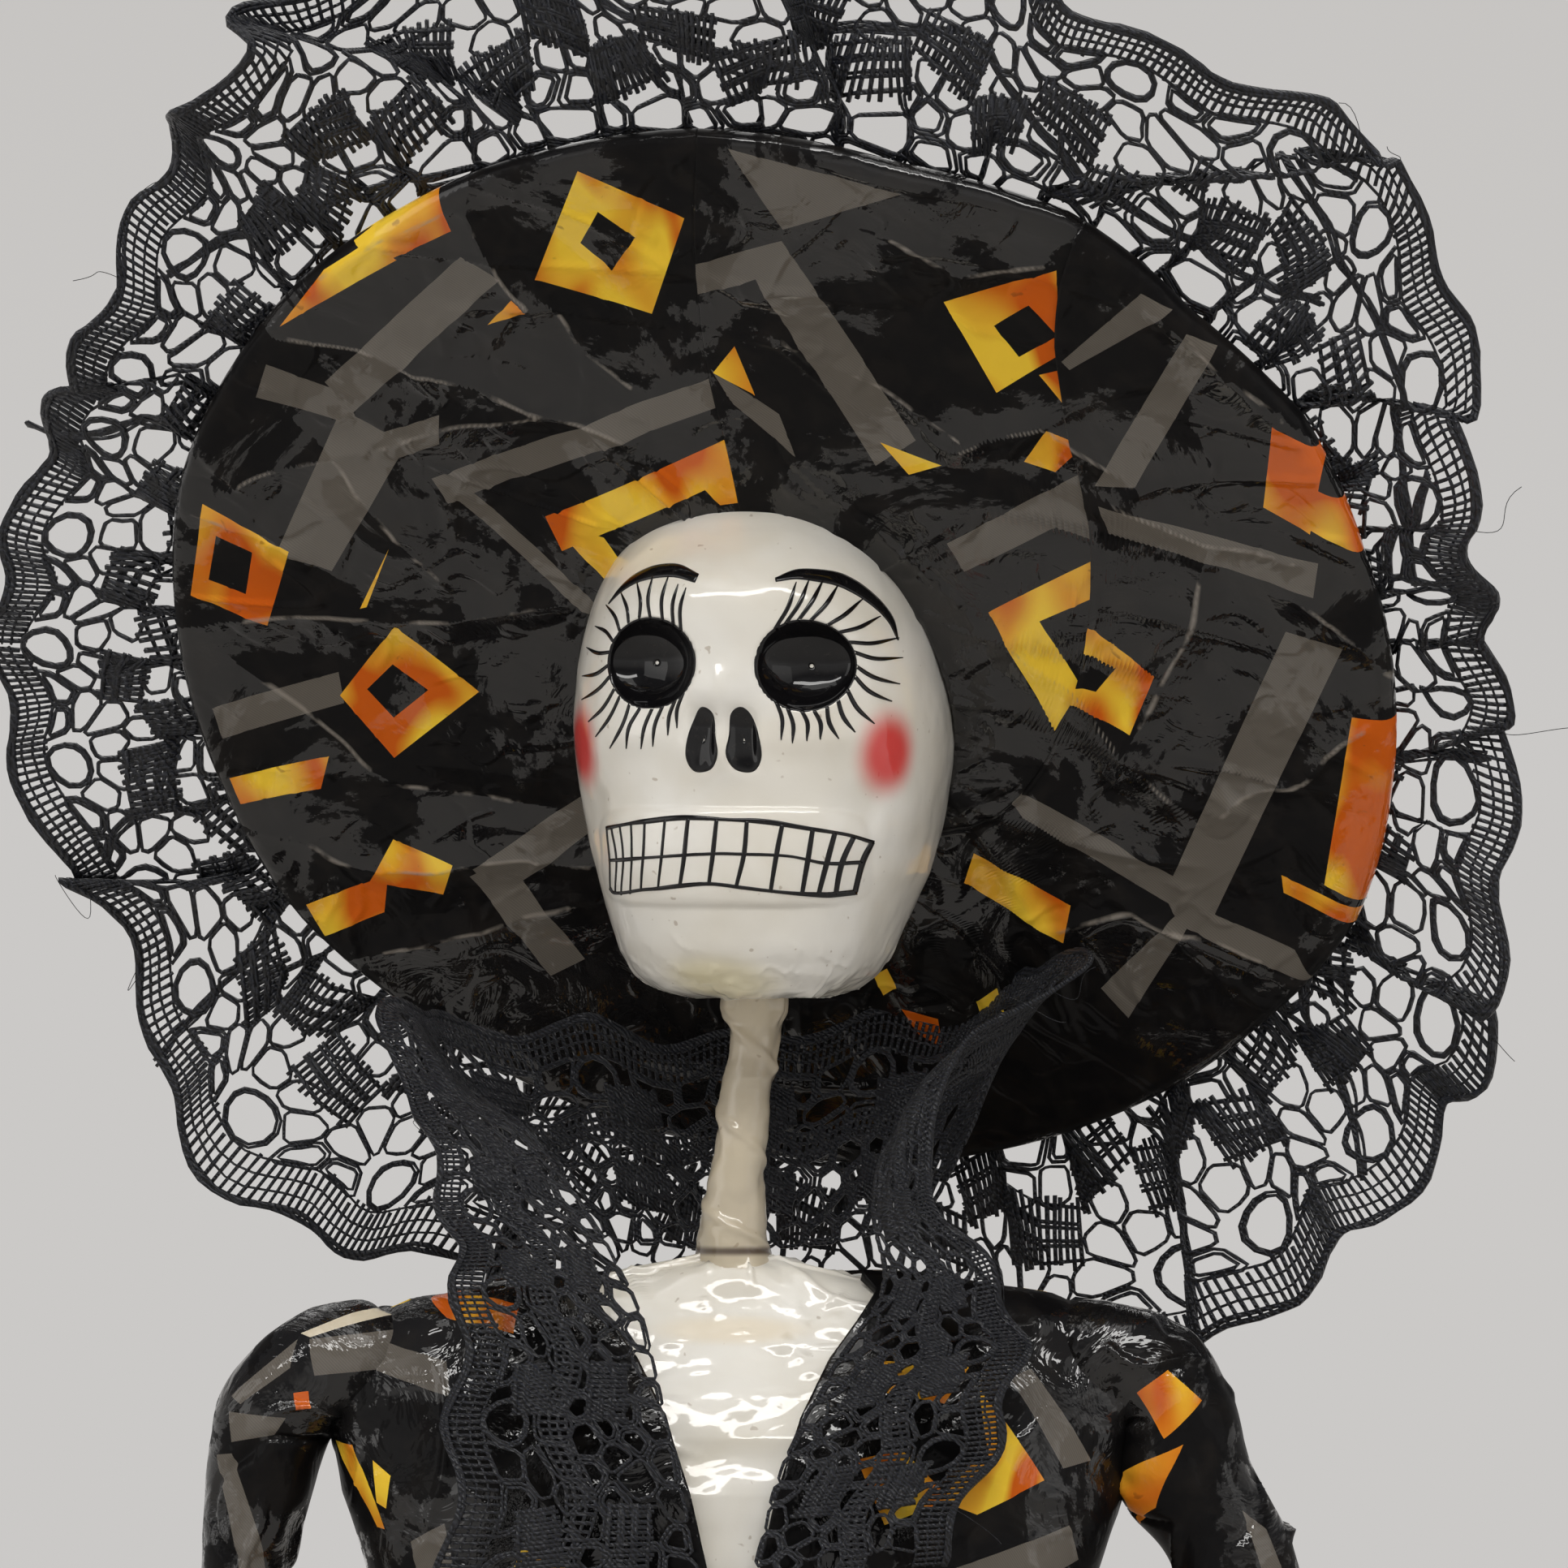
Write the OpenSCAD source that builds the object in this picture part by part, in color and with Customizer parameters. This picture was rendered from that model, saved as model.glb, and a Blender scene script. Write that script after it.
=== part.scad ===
// Papier-mache catrina figure: a standing skeleton lady in a wide lace-trimmed hat.
// Millimetres, +Z up, the figure faces -Y, left and right are the figure's own.
// Origin: centre of the underside of the base board, on the surface it stands on.

/* [Body] */
// Height of the chest's top, where the neck starts
chest_top_z = 312.8; // [300:1:325]
// Height of the waist
waist_z = 240; // [230:1:246]
// Radius of the skirt at the hem
hem_r = 59; // [50:1:70]
// Thickness of the lacquered paper skins
paper_t = 1.0; // [0.6:0.1:1.6]
// How deep the skirt's soft folds are at the hem, as a share of its radius
fold_depth = 0.035; // [0:0.005:0.06]

/* [Head] */
// Half of the skull's width
skull_w = 19.6; // [17:0.1:22]
// How far the head is turned to its right, in degrees
head_turn = 13.4; // [0:0.1:25]
// Height of the flat underside of the chin
chin_z = 339.9; // [335:0.1:345]

/* [Hat] */
// Radius of the brim
brim_r = 64; // [55:0.5:72]
// How far the brim leans back, in degrees from upright
brim_lean = 35.5; // [25:0.5:45]
// How far the brim's edge is dished towards the face
brim_dish = 4; // [0:0.5:7]
// Thickness of the brim's cardboard
brim_t = 1.6; // [1:0.1:3]
// Radius of the crown
crown_r = 28; // [27.5:0.1:32]
// Height of the crown behind the brim
crown_h = 26; // [25.5:0.5:34]

/* [Wires] */
// Diameter of the upright wire
spine_d = 2.0; // [1.6:0.1:2.4]
// Diameter of the arm wire
arm_d = 1.6; // [1.2:0.1:1.8]

/* [Hidden] */

ivory = [0.90, 0.87, 0.82];
print_black = [0.10, 0.10, 0.11];
print_grey = [0.34, 0.32, 0.30];
print_gold = [0.85, 0.60, 0.20];
lace_black = [0.05, 0.05, 0.07];
card_brown = [0.62, 0.50, 0.36];
steel_grey = [0.62, 0.63, 0.65];

base_t = 3;
card_t = 1.2;
lace_t = 1.2;
wire_gap = 0.05;
arm_wire_y = 3.2;
arm_wire_z = 301;
neck_foot_z = chest_top_z;

// ---- small helpers ----

function mix(a, b, t) = a + (b - a) * t;
function unit(v) = v / norm(v);
function clamp(x, low, high) = min(max(x, low), high);
// Value of column c of a table whose rows start with the key
function column(table, c) = [for (row = table) [row[0], row[c]]];
// Point of a hand-drawn line, found by its share of the way along
function along(points, t) =
    let (n = len(points) - 1, k = min(floor(t * n), n - 1)) mix(points[k], points[k + 1], t * n - k);
// The same line with its corners rounded off
function smooth(points) = [
    points[0],
    for (i = [0:len(points) - 2])
        each [mix(points[i], points[i + 1], 0.25), mix(points[i], points[i + 1], 0.75)],
    points[len(points) - 1]
];

// Thin shell over a surface. at(u, v, d) is the point at u, v and height d above the surface;
// the shell fills d from low to high. A ring closes on itself along u.
module skin(at, nu, nv, low, high, ring = false) {
    rows = ring ? nu : nu + 1;
    across = nv + 1;
    function id(layer, i, j) = (layer * rows + i % rows) * across + j;
    step = 0.01;
    middle = at(0.5, 0.5, low);
    turn = cross(at(0.5 + step, 0.5, low) - middle, at(0.5, 0.5 + step, low) - middle);
    flip = turn * (at(0.5, 0.5, high) - middle) > 0;
    points = [for (d = [high, low], i = [0:rows - 1], j = [0:nv]) at(i / nu, j / nv, d)];
    quads = [
        for (i = [0:nu - 1], j = [0:nv - 1])
            each [[id(0, i, j), id(0, i, j + 1), id(0, i + 1, j + 1), id(0, i + 1, j)],
                  [id(1, i, j), id(1, i + 1, j), id(1, i + 1, j + 1), id(1, i, j + 1)]],
        for (i = [0:nu - 1])
            each [[id(0, i, 0), id(0, i + 1, 0), id(1, i + 1, 0), id(1, i, 0)],
                  [id(0, i, nv), id(1, i, nv), id(1, i + 1, nv), id(0, i + 1, nv)]],
        if (!ring) for (j = [0:nv - 1])
            each [[id(0, 0, j), id(1, 0, j), id(1, 0, j + 1), id(0, 0, j + 1)],
                  [id(0, nu, j), id(0, nu, j + 1), id(1, nu, j + 1), id(1, nu, j)]]
    ];
    faces = [for (q = quads) each [[q[0], q[1], q[2]], [q[0], q[2], q[3]]]];
    polyhedron(points, flip ? faces : [for (f = faces) [f[2], f[1], f[0]]]);
}

// Closed solid through a stack of rings with the same number of points, lowest ring first,
// each ring running anticlockwise seen from above
module loft(rings) {
    n = len(rings[0]);
    top = (len(rings) - 1) * n;
    points = [for (ring = rings) each ring];
    walls = [for (k = [0:len(rings) - 2], i = [0:n - 1])
        each [[k * n + i, (k + 1) * n + i, (k + 1) * n + (i + 1) % n],
              [k * n + i, (k + 1) * n + (i + 1) % n, k * n + (i + 1) % n]]];
    ends = [for (i = [1:n - 2]) each [[0, i, i + 1], [top, top + i + 1, top + i]]];
    polyhedron(points, concat(walls, ends));
}

// Ring of points square to a path at its point i
function path_ring(path, i, r, sides) =
    let (
        ahead = unit(path[min(i + 1, len(path) - 1)] - path[max(i - 1, 0)]),
        side = unit(cross(ahead, abs(ahead.y) < 0.9 ? [0, 1, 0] : [1, 0, 0])),
        up = cross(ahead, side)
    )
    [for (k = [0:sides - 1]) path[i] + r * (side * cos(360 * k / sides) + up * sin(360 * k / sides))];

// Solid round rod along a path, with a radius at each point
module rod(path, radii, sides = 8) {
    loft([for (i = [0:len(path) - 1]) path_ring(path, i, radii[i], sides)]);
}

// Hollow tube along a path
module tube(path, radii, bore_r, sides = 16) {
    n = len(path) - 1;
    outside = [for (i = [0:n]) each path_ring(path, i, radii[i], sides)];
    inside = [for (i = [0:n]) each path_ring(path, i, bore_r, sides)];
    function id(layer, k, i) = (layer * (n + 1) + i) * sides + k % sides;
    quads = [
        for (k = [0:sides - 1], i = [0:n - 1])
            each [[id(0, k, i), id(0, k, i + 1), id(0, k + 1, i + 1), id(0, k + 1, i)],
                  [id(1, k, i), id(1, k + 1, i), id(1, k + 1, i + 1), id(1, k, i + 1)]],
        for (k = [0:sides - 1])
            each [[id(0, k, 0), id(0, k + 1, 0), id(1, k + 1, 0), id(1, k, 0)],
                  [id(0, k, n), id(1, k, n), id(1, k + 1, n), id(0, k + 1, n)]]
    ];
    polyhedron(concat(outside, inside), [for (q = quads) each [[q[0], q[1], q[2]], [q[0], q[2], q[3]]]]);
}

// ---- torso and skirt outlines ----

// Torso: height, half width, half depth
torso = [
    [236, 20.4, 14.6], [244, 20.0, 14.0], [254, 24.0, 15.0], [266, 31.0, 16.6], [279, 37.6, 17.4],
    [288, 40.6, 16.6], [294, 41.8, 14.8], [299, 42.2, 12.2], [303, 41.4, 9.6], [306, 38.4, 7.8],
    [308, 33.5, 6.6], [309.6, 24.0, 5.8], [311.4, 14.4, 5.0], [313, 7.0, 4.2], [314, 2.6, 2.5]
];
torso_top_z = 314;
shoulder_turn_z = 292;

function torso_at(a, z, d) =
    let (
        over = clamp((z - shoulder_turn_z) / (torso_top_z - shoulder_turn_z), 0, 1),
        w = lookup(z, column(torso, 1)) + d * (1 - over),
        b = lookup(z, column(torso, 2)) + d * (1 - over)
    )
    [w * cos(a), b * sin(a), z + d * over];

// Skirt: height, half width, half depth
skirt = [
    [0, hem_r, hem_r], [12, hem_r - 3.6, hem_r - 3.7], [28, 50.5, 50], [55, 42.5, 41.5], [90, 35.6, 34],
    [130, 31, 29], [170, 28.4, 25.4], [205, 26.6, 22], [225, 23.4, 18], [240, 20.2, 14.2]
];
skirt_folds = 12;

function skirt_at(a, z, d) =
    let (
        w = lookup(z, column(skirt, 1)),
        b = lookup(z, column(skirt, 2)),
        fold = 1 + fold_depth * (1 - min(z, 200) / 200) * cos(skirt_folds * a)
    )
    [(w * fold + d) * cos(a), (b * fold + d) * sin(a), z];

// Layers of the torso, measured inwards from its outline
core_in = 4.2;
ribs_in = 4.0;
ribs_out = 1.2;

// ---- inner pieces ----

module base_board() {
    color(card_brown)
    difference() {
        cylinder(r = hem_r * (1 - fold_depth) - paper_t - 1, h = base_t, $fn = 96);
        translate([0, 0, 1]) cylinder(d = spine_d + 2 * wire_gap, h = base_t, $fn = 32);
    }
}

// The upright wire bends a little inside the neck and ends inside the skull
neck_path = [[0, 0, neck_foot_z], [0.1, 0.2, 318], [0.9, 0.7, 326], [1.9, 1.4, 334], [2.3, 1.8, chin_z]];
neck_radii = [3.7, 3.2, 2.8, 2.55, 2.45];
skull_wire_top = [2.6, 2.2, chin_z + 22];

module spine_wire() {
    color(steel_grey)
    rod(concat([[0, 0, 1], [0, 0, 120], [0, 0, 240]], neck_path, [skull_wire_top]),
        [for (i = [0:8]) spine_d / 2], 12);
}

// Arm paths from shoulder to wrist
arm_left = [[37.5, 0, 301.8], [44.6, 0, 301.4], [49.3, 0, 296], [51, 0.3, 288.5], [52.9, 1, 279.7],
            [57.5, 3, 264], [63, 4.8, 249], [67.6, 6, 239]];
fore_left = [[67.6, 6, 239], [66.6, 4.6, 234.4], [60, -0.6, 228], [47, -10.2, 217.6], [34, -18.4, 207.4]];
arm_right = [[-37.5, 0, 301.8], [-44, 0, 301.4], [-48.3, 0, 296.5], [-49.5, 0.3, 289], [-51.2, 1, 279.7],
             [-54.5, 3, 262], [-58, 5, 246], [-60.4, 6, 235.6]];
fore_right = [[-60.4, 6, 235.6], [-59.4, 4.6, 231.2], [-54, -0.6, 225.4], [-44, -9.6, 215.6],
              [-33.4, -18, 205.4]];
arm_left_r = [5.2, 6.0, 6.5, 6.3, 6.0, 5.4, 5.0, 4.8];
arm_right_r = [5.2, 5.8, 6.0, 5.7, 4.8, 4.7, 4.6, 4.6];
fore_left_r = [4.8, 4.9, 4.6, 4.2, 3.8];
fore_right_r = [4.6, 4.7, 4.5, 4.1, 3.8];

function inner_points(path) = [for (i = [1:len(path) - 1]) path[i]];
function reversed(path) = [for (i = [len(path) - 1:-1:0]) path[i]];

module arm_wire() {
    path = concat(
        reversed(inner_points(fore_right)), reversed(inner_points(arm_right)),
        [[-30, arm_wire_y, arm_wire_z], [30, arm_wire_y, arm_wire_z]],
        inner_points(arm_left), inner_points(fore_left));
    color(steel_grey) rod(path, [for (p = path) arm_d / 2], 7);
}

// Space left for the two wires in the solid pieces of the torso
module wire_room() {
    translate([0, 0, 200]) cylinder(d = spine_d + 2 * wire_gap, h = 120, $fn = 24);
    translate([-30, arm_wire_y, arm_wire_z]) rotate([0, 90, 0])
        cylinder(d = arm_d + 2 * wire_gap, h = 60, $fn = 24);
    for (side = [-1, 1])
        translate([side * 37.3, arm_wire_y / 2, arm_wire_z + 0.2]) rotate([0, 90, side * -12.4])
            cylinder(d = arm_d + 0.8, h = 16, center = true, $fn = 24);
}

// Rolled card cone that carries the skirt paper
cone = [[base_t, hem_r - 6.4], [28, 46.2], [55, 38.4], [90, 31.4], [130, 26.6], [170, 23.2], [205, 19.8],
        [225, 15.8], [238, 12.4]];

module skirt_cone() {
    color(card_brown)
    rotate_extrude($fn = 96)
        polygon(concat([for (p = cone) [p[1], p[0]]], [for (p = reversed(cone)) [p[1] - card_t, p[0]]]));
}

core_foot_z = 226;
core_neck_r = 10.6;
core_heights = [246, 254, 266, 279, 288, 294, 299, 303, 306, 308, 309.6, 311.4];

module torso_core() {
    sides = 24;
    foot = [for (z = [core_foot_z, 241]) [for (i = [0:sides - 1])
        [core_neck_r * cos(360 * i / sides), core_neck_r * sin(360 * i / sides), z]]];
    body = [for (z = core_heights) [for (i = [0:sides - 1]) torso_at(360 * i / sides, z, -core_in)]];
    color(card_brown)
    difference() {
        loft(concat(foot, body));
        wire_room();
    }
}

// Chest of white papier-mache, with shallow ribs across its front
rib_pitch = 7.5;
rib_depth = 0.5;
ribs_foot_z = 252;

module rib_cage() {
    at = function (u, v, d)
        let (
            a = 360 * u - 90,
            z = mix(ribs_foot_z, torso_top_z, v),
            front = max(0, -sin(a)) * (z < 306 ? 1 : 0),
            groove = d < -ribs_out - 0.1 ? 0 : rib_depth * front * pow(cos(180 * z / rib_pitch), 2)
        )
        torso_at(a, z, d - groove);
    color(ivory)
    difference() {
        skin(at, 24, 20, -ribs_in, -ribs_out, true);
        wire_room();
    }
}

module neck() {
    color(ivory) tube(neck_path, neck_radii, spine_d / 2 + wire_gap, 16);
}

// ---- head ----

head_centre = [3.2, 0, 0];
function turned(p) =
    [p.x * cos(head_turn) + p.y * sin(head_turn), -p.x * sin(head_turn) + p.y * cos(head_turn), p.z]
    + head_centre;

// Skull: height above the chin, half width as a share, front depth, back depth
skull_rows = [
    [0, 0.40, 13, 5.5], [1.2, 0.50, 15, 7.5], [4, 0.72, 17.6, 10], [7.6, 0.79, 19.2, 13], [11, 0.84, 20.4, 15.6],
    [15, 0.90, 21.2, 18.6], [19.5, 0.95, 21.4, 21.4], [24, 0.985, 21.6, 23.2], [28, 1.0, 22.2, 24.2],
    [32.5, 0.99, 22.8, 24.4], [36.6, 0.955, 23, 23.6], [41, 0.89, 21.8, 21.8], [45, 0.80, 19.6, 19],
    [49, 0.66, 16, 15.4], [52.4, 0.48, 11.6, 11], [55, 0.25, 6, 6], [56.1, 0.03, 0.8, 0.8]
];
eye_height = 35.2;
eye_spread = 8.4;
eye_r = 4.8;
eye_depth = 2.6;
square_power = 2.3;

function power_round(c, p) = sign(c) * pow(abs(c), 2 / p);
function skull_at(a, h) =
    let (
        w = skull_w * lookup(h, column(skull_rows, 1)),
        b = lookup(h, column(skull_rows, sin(a) < 0 ? 2 : 3)),
        x = w * power_round(cos(a), square_power),
        y = b * power_round(sin(a), square_power),
        off = norm([abs(x) - eye_spread, h - eye_height]) / eye_r,
        hollow = sin(a) < 0 && off < 1 ? eye_depth * (1 - off * off) : 0
    )
    [x, y + hollow, chin_z + h];

skull_heights = [
    for (row = skull_rows) if (row[0] < 29) row[0],
    30.6, 32.8, 35.2, 37.6, 39.8, 42.5, 45.5, 48.5, 51.5, 54, 55.4, 56.1
];

module skull() {
    sides = 40;
    color(ivory)
    difference() {
        loft([for (h = skull_heights) [for (i = [0:sides - 1]) turned(skull_at(360 * i / sides, h))]]);
        translate([2.45, 2, chin_z - 1]) cylinder(d = spine_d + 1, h = 24, $fn = 24);
    }
}

// ---- hat ----

brim_centre = [5.8, -3, 377.7];
side_dir = [cos(head_turn), -sin(head_turn), 0];
back_dir = [sin(head_turn), cos(head_turn), 0];
up_dir = -sin(brim_lean) * back_dir + cos(brim_lean) * [0, 0, 1];
crown_dir = cos(brim_lean) * back_dir + sin(brim_lean) * [0, 0, 1];

// Point of the hat: x to the figure's left, q up the brim, s behind it
function hat(x, q, s) = brim_centre + x * side_dir + q * up_dir + s * crown_dir;

// Opening for the skull
hole_centre = [-3.2, -8.4];
hole_w = 21;
hole_h = 26.6;
hat_paper_t = 0.6;
brim_sides = 48;

function dish(r) = -brim_dish * pow(r / brim_r, 2);
function brim_at(a, v, s, edge = 0) =
    let (
        inner = hole_centre + [hole_w * cos(a), hole_h * sin(a)],
        outer = (brim_r + edge) * [cos(a), sin(a)],
        p = mix(inner, outer, v)
    )
    hat(p.x, p.y, dish(norm(p)) + s);

module hat_brim_board() {
    at = function (u, v, d) brim_at(360 * u, v, d);
    color(card_brown) skin(at, brim_sides, 3, -brim_t / 2, brim_t / 2, true);
}

// A paper piece on the brim's face, between two angles
module brim_paper(from, to, steps) {
    at = function (u, v, d) brim_at(mix(from, to, u), v, -brim_t / 2 - d, 0.4);
    color(print_black) skin(at, steps, 3, 0, hat_paper_t);
}
// Angles of the three seams, and half of the gap at each
seam_top = 90;
seam_right = 52.5;
seam_bottom = -97.5;
seam_gap = 0.3;
module brim_paper_right() { brim_paper(seam_top + seam_gap, 360 + seam_bottom - seam_gap, 23); }
module brim_paper_middle() { brim_paper(seam_right + seam_gap, seam_top - seam_gap, 5); }
module brim_paper_left() { brim_paper(seam_bottom + seam_gap, seam_right - seam_gap, 20); }

module brim_paper_back() {
    at = function (u, v, d) brim_at(360 * u, mix(0.2, 1, v), brim_t / 2 + d, 0.4);
    color(print_black) skin(at, brim_sides, 3, 0, hat_paper_t, true);
}

crown_steps = 5;
function crown_at(a, t, r, h) =
    hat(hole_centre.x + r * cos(90 * t) * cos(a), hole_centre.y + r * cos(90 * t) * sin(a),
        brim_t / 2 + 0.3 + h * sin(90 * t));

module crown_shell(gap, thick, shade) {
    at = function (u, v, d) crown_at(360 * u, v * 0.97, crown_r + gap + d, crown_h + gap + d);
    color(shade) skin(at, 32, crown_steps, 0, thick, true);
}
module hat_crown() { crown_shell(-card_t, card_t, card_brown); }
module crown_paper() { crown_shell(0.05, hat_paper_t, print_black); }

// Torn paper strip that ties the skull to the brim
module hat_seam_strip() {
    at = function (u, v, d)
        let (a = 360 * u, grow = mix(-2.2, 2.4, v))
        hat(hole_centre.x + (hole_w + grow) * cos(a), hole_centre.y + (hole_h + grow) * sin(a),
            -brim_t / 2 - hat_paper_t - 2.6 * (1 - v) - d);
    color(ivory) skin(at, 36, 1, 0.1, 0.8, true);
}

// Hat lace: angle around the brim, reach beyond its edge, swing towards the face
lace_rows = [
    [-180, 24, -2], [-167, 25, 3], [-154, 24, 0], [-142, 30, 9], [-123, 23, 14], [-105, 25, 17], [-90, 24, 16],
    [-77, 26, 18], [-64, 26, 18], [-55, 24.6, 15], [-44, 25, 8], [-25, 18.5, 12], [-4, 13, -6], [11, 14.7, 8],
    [27, 22, -4], [40, 30, -2], [56, 28.5, 3], [72, 30, -4], [90, 30, 4], [105, 30, -4], [119, 29, 2],
    [127, 26, 5], [136, 20.5, -4], [147, 18, 6], [161, 18.5, -5], [180, 24, -2]
];
lace_root = 7;

module hat_lace() {
    at = function (u, v, d)
        let (
            a = 360 * u - 180,
            reach = lookup(a, column(lace_rows, 1)),
            swing = lookup(a, column(lace_rows, 2)),
            free = max(0, (v - 0.2) / 0.8),
            r = v < 0.2 ? brim_r - lace_root * (1 - v / 0.2) : brim_r + reach * free
        )
        hat(r * cos(a), r * sin(a),
            dish(min(r, brim_r)) + brim_t / 2 + hat_paper_t + 0.2 - swing * pow(free, 1.4) + d);
    color(lace_black) skin(at, 72, 4, 0, lace_t, true);
}

// ---- clothes ----

// Half width of the open neckline by height, before the shoulder seam
neckline = [[262, 0], [275, 0.4], [280, 2.6], [288, 4.4], [296, 7], [302, 10], [306, 13], [309, 15], [311, 13]];
bodice_foot_z = 241;
bodice_top_z = 310.6;
shoulder_seam = 0.6;

module bodice_front(side) {
    at = function (u, v, d)
        let (
            z = mix(bodice_foot_z, bodice_top_z, v),
            w = lookup(z, column(torso, 1)),
            open = acos(min(1, lookup(z, column(neckline, 1)) / w)),
            a = mix(max(2, open), shoulder_seam, u)
        )
        torso_at(side > 0 ? -a : 180 + a, z, d);
    color(print_black)
    difference() {
        skin(at, 9, 14, -ribs_out + 0.05, -ribs_out + 0.05 + paper_t);
        wire_room();
    }
}
module bodice_left_front() { bodice_front(1); }
module bodice_right_front() { bodice_front(-1); }
module bodice_back() {
    at = function (u, v, d)
        torso_at(mix(shoulder_seam, 180 - shoulder_seam, u), mix(bodice_foot_z, bodice_top_z, v), d);
    color(print_black)
    difference() {
        skin(at, 16, 12, -ribs_out + 0.05, -ribs_out + 0.05 + paper_t);
        wire_room();
    }
}

band_h = 7;
module waist_band() {
    at = function (u, v, d)
        let (p = skirt_at(360 * u, waist_z, d), q = torso_at(360 * u, waist_z + 4, d))
        [mix(p, q, v).x, mix(p, q, v).y, waist_z - 3 + band_h * v];
    color(print_gold) skin(at, 32, 1, 0.4, 1.3, true);
}

module sleeve(path, radii) {
    color(print_black) tube(path, radii, arm_d / 2 + wire_gap, 12);
}
// The sleeve heads are cut to lie against the bodice
sleeve_gap = 0.1;
module torso_block() {
    sides = 32;
    heights = [for (row = torso) if (row[0] > 266) row[0]];
    grow = paper_t - ribs_out + 0.05 + sleeve_gap;
    loft([for (z = heights) [for (i = [0:sides - 1]) torso_at(360 * i / sides, z, grow)]]);
}
module sleeve_head(path, radii) {
    color(print_black)
    difference() {
        sleeve(path, radii);
        torso_block();
    }
}
module sleeve_left_upper() { sleeve_head(arm_left, arm_left_r); }
module sleeve_left_lower() { sleeve(fore_left, fore_left_r); }
module sleeve_right_upper() { sleeve_head(arm_right, arm_right_r); }
module sleeve_right_lower() { sleeve(fore_right, fore_right_r); }

// Lace along the neckline and round the back of the neck: attached edge and free edge
collar_inner = [
    [-3, -19.4, 279.7], [-6.4, -18.6, 295.3], [-9.8, -14.4, 308], [-15.8, -9, 318.4], [-22.6, -3, 326.6],
    [-31, 4, 331], [-24, 11, 318], [-12, 11, 313.4], [0, 11, 312.8], [12, 11, 313.4], [21, 10, 318],
    [27, 5, 332], [17.6, -2.6, 326], [14.6, -7, 318], [15.5, -10.6, 309.4], [10, -15.2, 301], [4.7, -18.8, 291],
    [1.7, -19.4, 279.7]
];
collar_outer = [
    [-31.2, -17.4, 279.7], [-30.3, -17.2, 296], [-29.5, -13, 309], [-31.2, -9, 318.4], [-33.6, -3.4, 327.6],
    [-37.8, 5.4, 338.6], [-31, 15, 338], [-16, 20, 337], [0, 21, 336.4], [16, 20, 338], [30, 14, 342],
    [37, 4, 344.6], [25, -5, 334], [20, -8.4, 321.4], [27, -11.4, 312.4], [31, -14, 303.6], [28, -17.6, 293],
    [22, -18.6, 281]
];

module collar_lace() {
    inner = smooth(collar_inner);
    outer = smooth(collar_outer);
    flat_at = function (u, v) mix(along(inner, u), along(outer, u), v);
    at = function (u, v, d)
        let (
            h = 0.02,
            du = flat_at(min(u + h, 1), v) - flat_at(max(u - h, 0), v),
            dv = flat_at(u, 1) - flat_at(u, 0)
        )
        flat_at(u, v) + d * unit(cross(du, dv));
    color(lace_black) skin(at, 48, 3, 0, lace_t);
}

// Quarter of the skirt paper, around the angle given
module skirt_gore(middle) {
    at = function (u, v, d) skirt_at(middle + mix(-44.8, 44.8, u), mix(0, waist_z - 0.4, v), d);
    color(print_black) skin(at, 14, 12, -paper_t, 0);
}
module skirt_front() { skirt_gore(-90); }
module skirt_left() { skirt_gore(0); }
module skirt_back() { skirt_gore(90); }
module skirt_right() { skirt_gore(180); }

hem_lace_h = 27;
module hem_lace() {
    at = function (u, v, d)
        skirt_at(360 * u, 0.6 + hem_lace_h * v, 0.3 + d + (1 - v) * (2 + 0.8 * cos(360 * 20 * u)));
    color(lace_black) skin(at, 96, 2, 0, 0.9, true);
}

// ---- hands ----

// Hand frames: wrist, direction of the fingers, direction across the palm towards the thumb
hands = [[fore_left[4], unit([-0.66, -0.12, -0.78]), unit([-0.66, -0.30, 0.66])],
         [fore_right[4], unit([0.66, -0.12, -0.78]), unit([0.66, -0.30, 0.66])]];
palm_l = 11;
palm_w = 4.4;

function hand_at(k, out, side, lift) =
    let (h = hands[k], face = unit(cross(h[1], h[2])) * (k == 0 ? 1 : -1))
    h[0] + out * h[1] + side * h[2] + lift * face;

module palm(k) {
    color(ivory)
    hull() {
        translate(hand_at(k, 2.3, 0, 0)) sphere(r = 2.2, $fn = 14);
        for (side = [-0.8, 0.8])
            translate(hand_at(k, palm_l - 1.6, side * palm_w, 0)) sphere(r = 1.5, $fn = 14);
    }
}
module palm_left() { palm(0); }
module palm_right() { palm(1); }

// A bony finger: side of its knuckle, how far it spreads, its length
module finger(k, start, side, spread, length) {
    share = [0, 0.07, 0.26, 0.46, 0.62, 0.76, 1];
    thick = [1.05, 1.2, 0.95, 1.25, 0.95, 1.1, 0.45];
    path = [for (t = share) hand_at(k, start + length * t, side + spread * t, -1.6 * t * t)];
    color(ivory) rod(path, thick, 7);
}
knuckle = palm_l + 0.2;
module thumb(k) {
    path = [for (t = [0, 0.3, 0.5, 0.6, 0.8, 1]) hand_at(k, 3.6 + 7 * t, 4.6 + 4.4 * t, -1.2 * t)];
    color(ivory) rod(path, [1.2, 1.1, 1.35, 1.1, 1.0, 0.5], 7);
}
module thumb_left() { thumb(0); }
module index_left() { finger(0, knuckle, 3.6, 2.0, 13); }
module middle_left() { finger(0, knuckle, 1.2, 0.6, 14.4); }
module ring_left() { finger(0, knuckle, -1.2, -0.6, 13.4); }
module little_left() { finger(0, knuckle, -3.6, -2.0, 10.8); }
module thumb_right() { thumb(1); }
module index_right() { finger(1, knuckle, 3.6, 2.0, 13); }
module middle_right() { finger(1, knuckle, 1.2, 0.6, 14.4); }
module ring_right() { finger(1, knuckle, -1.2, -0.6, 13.4); }
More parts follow.
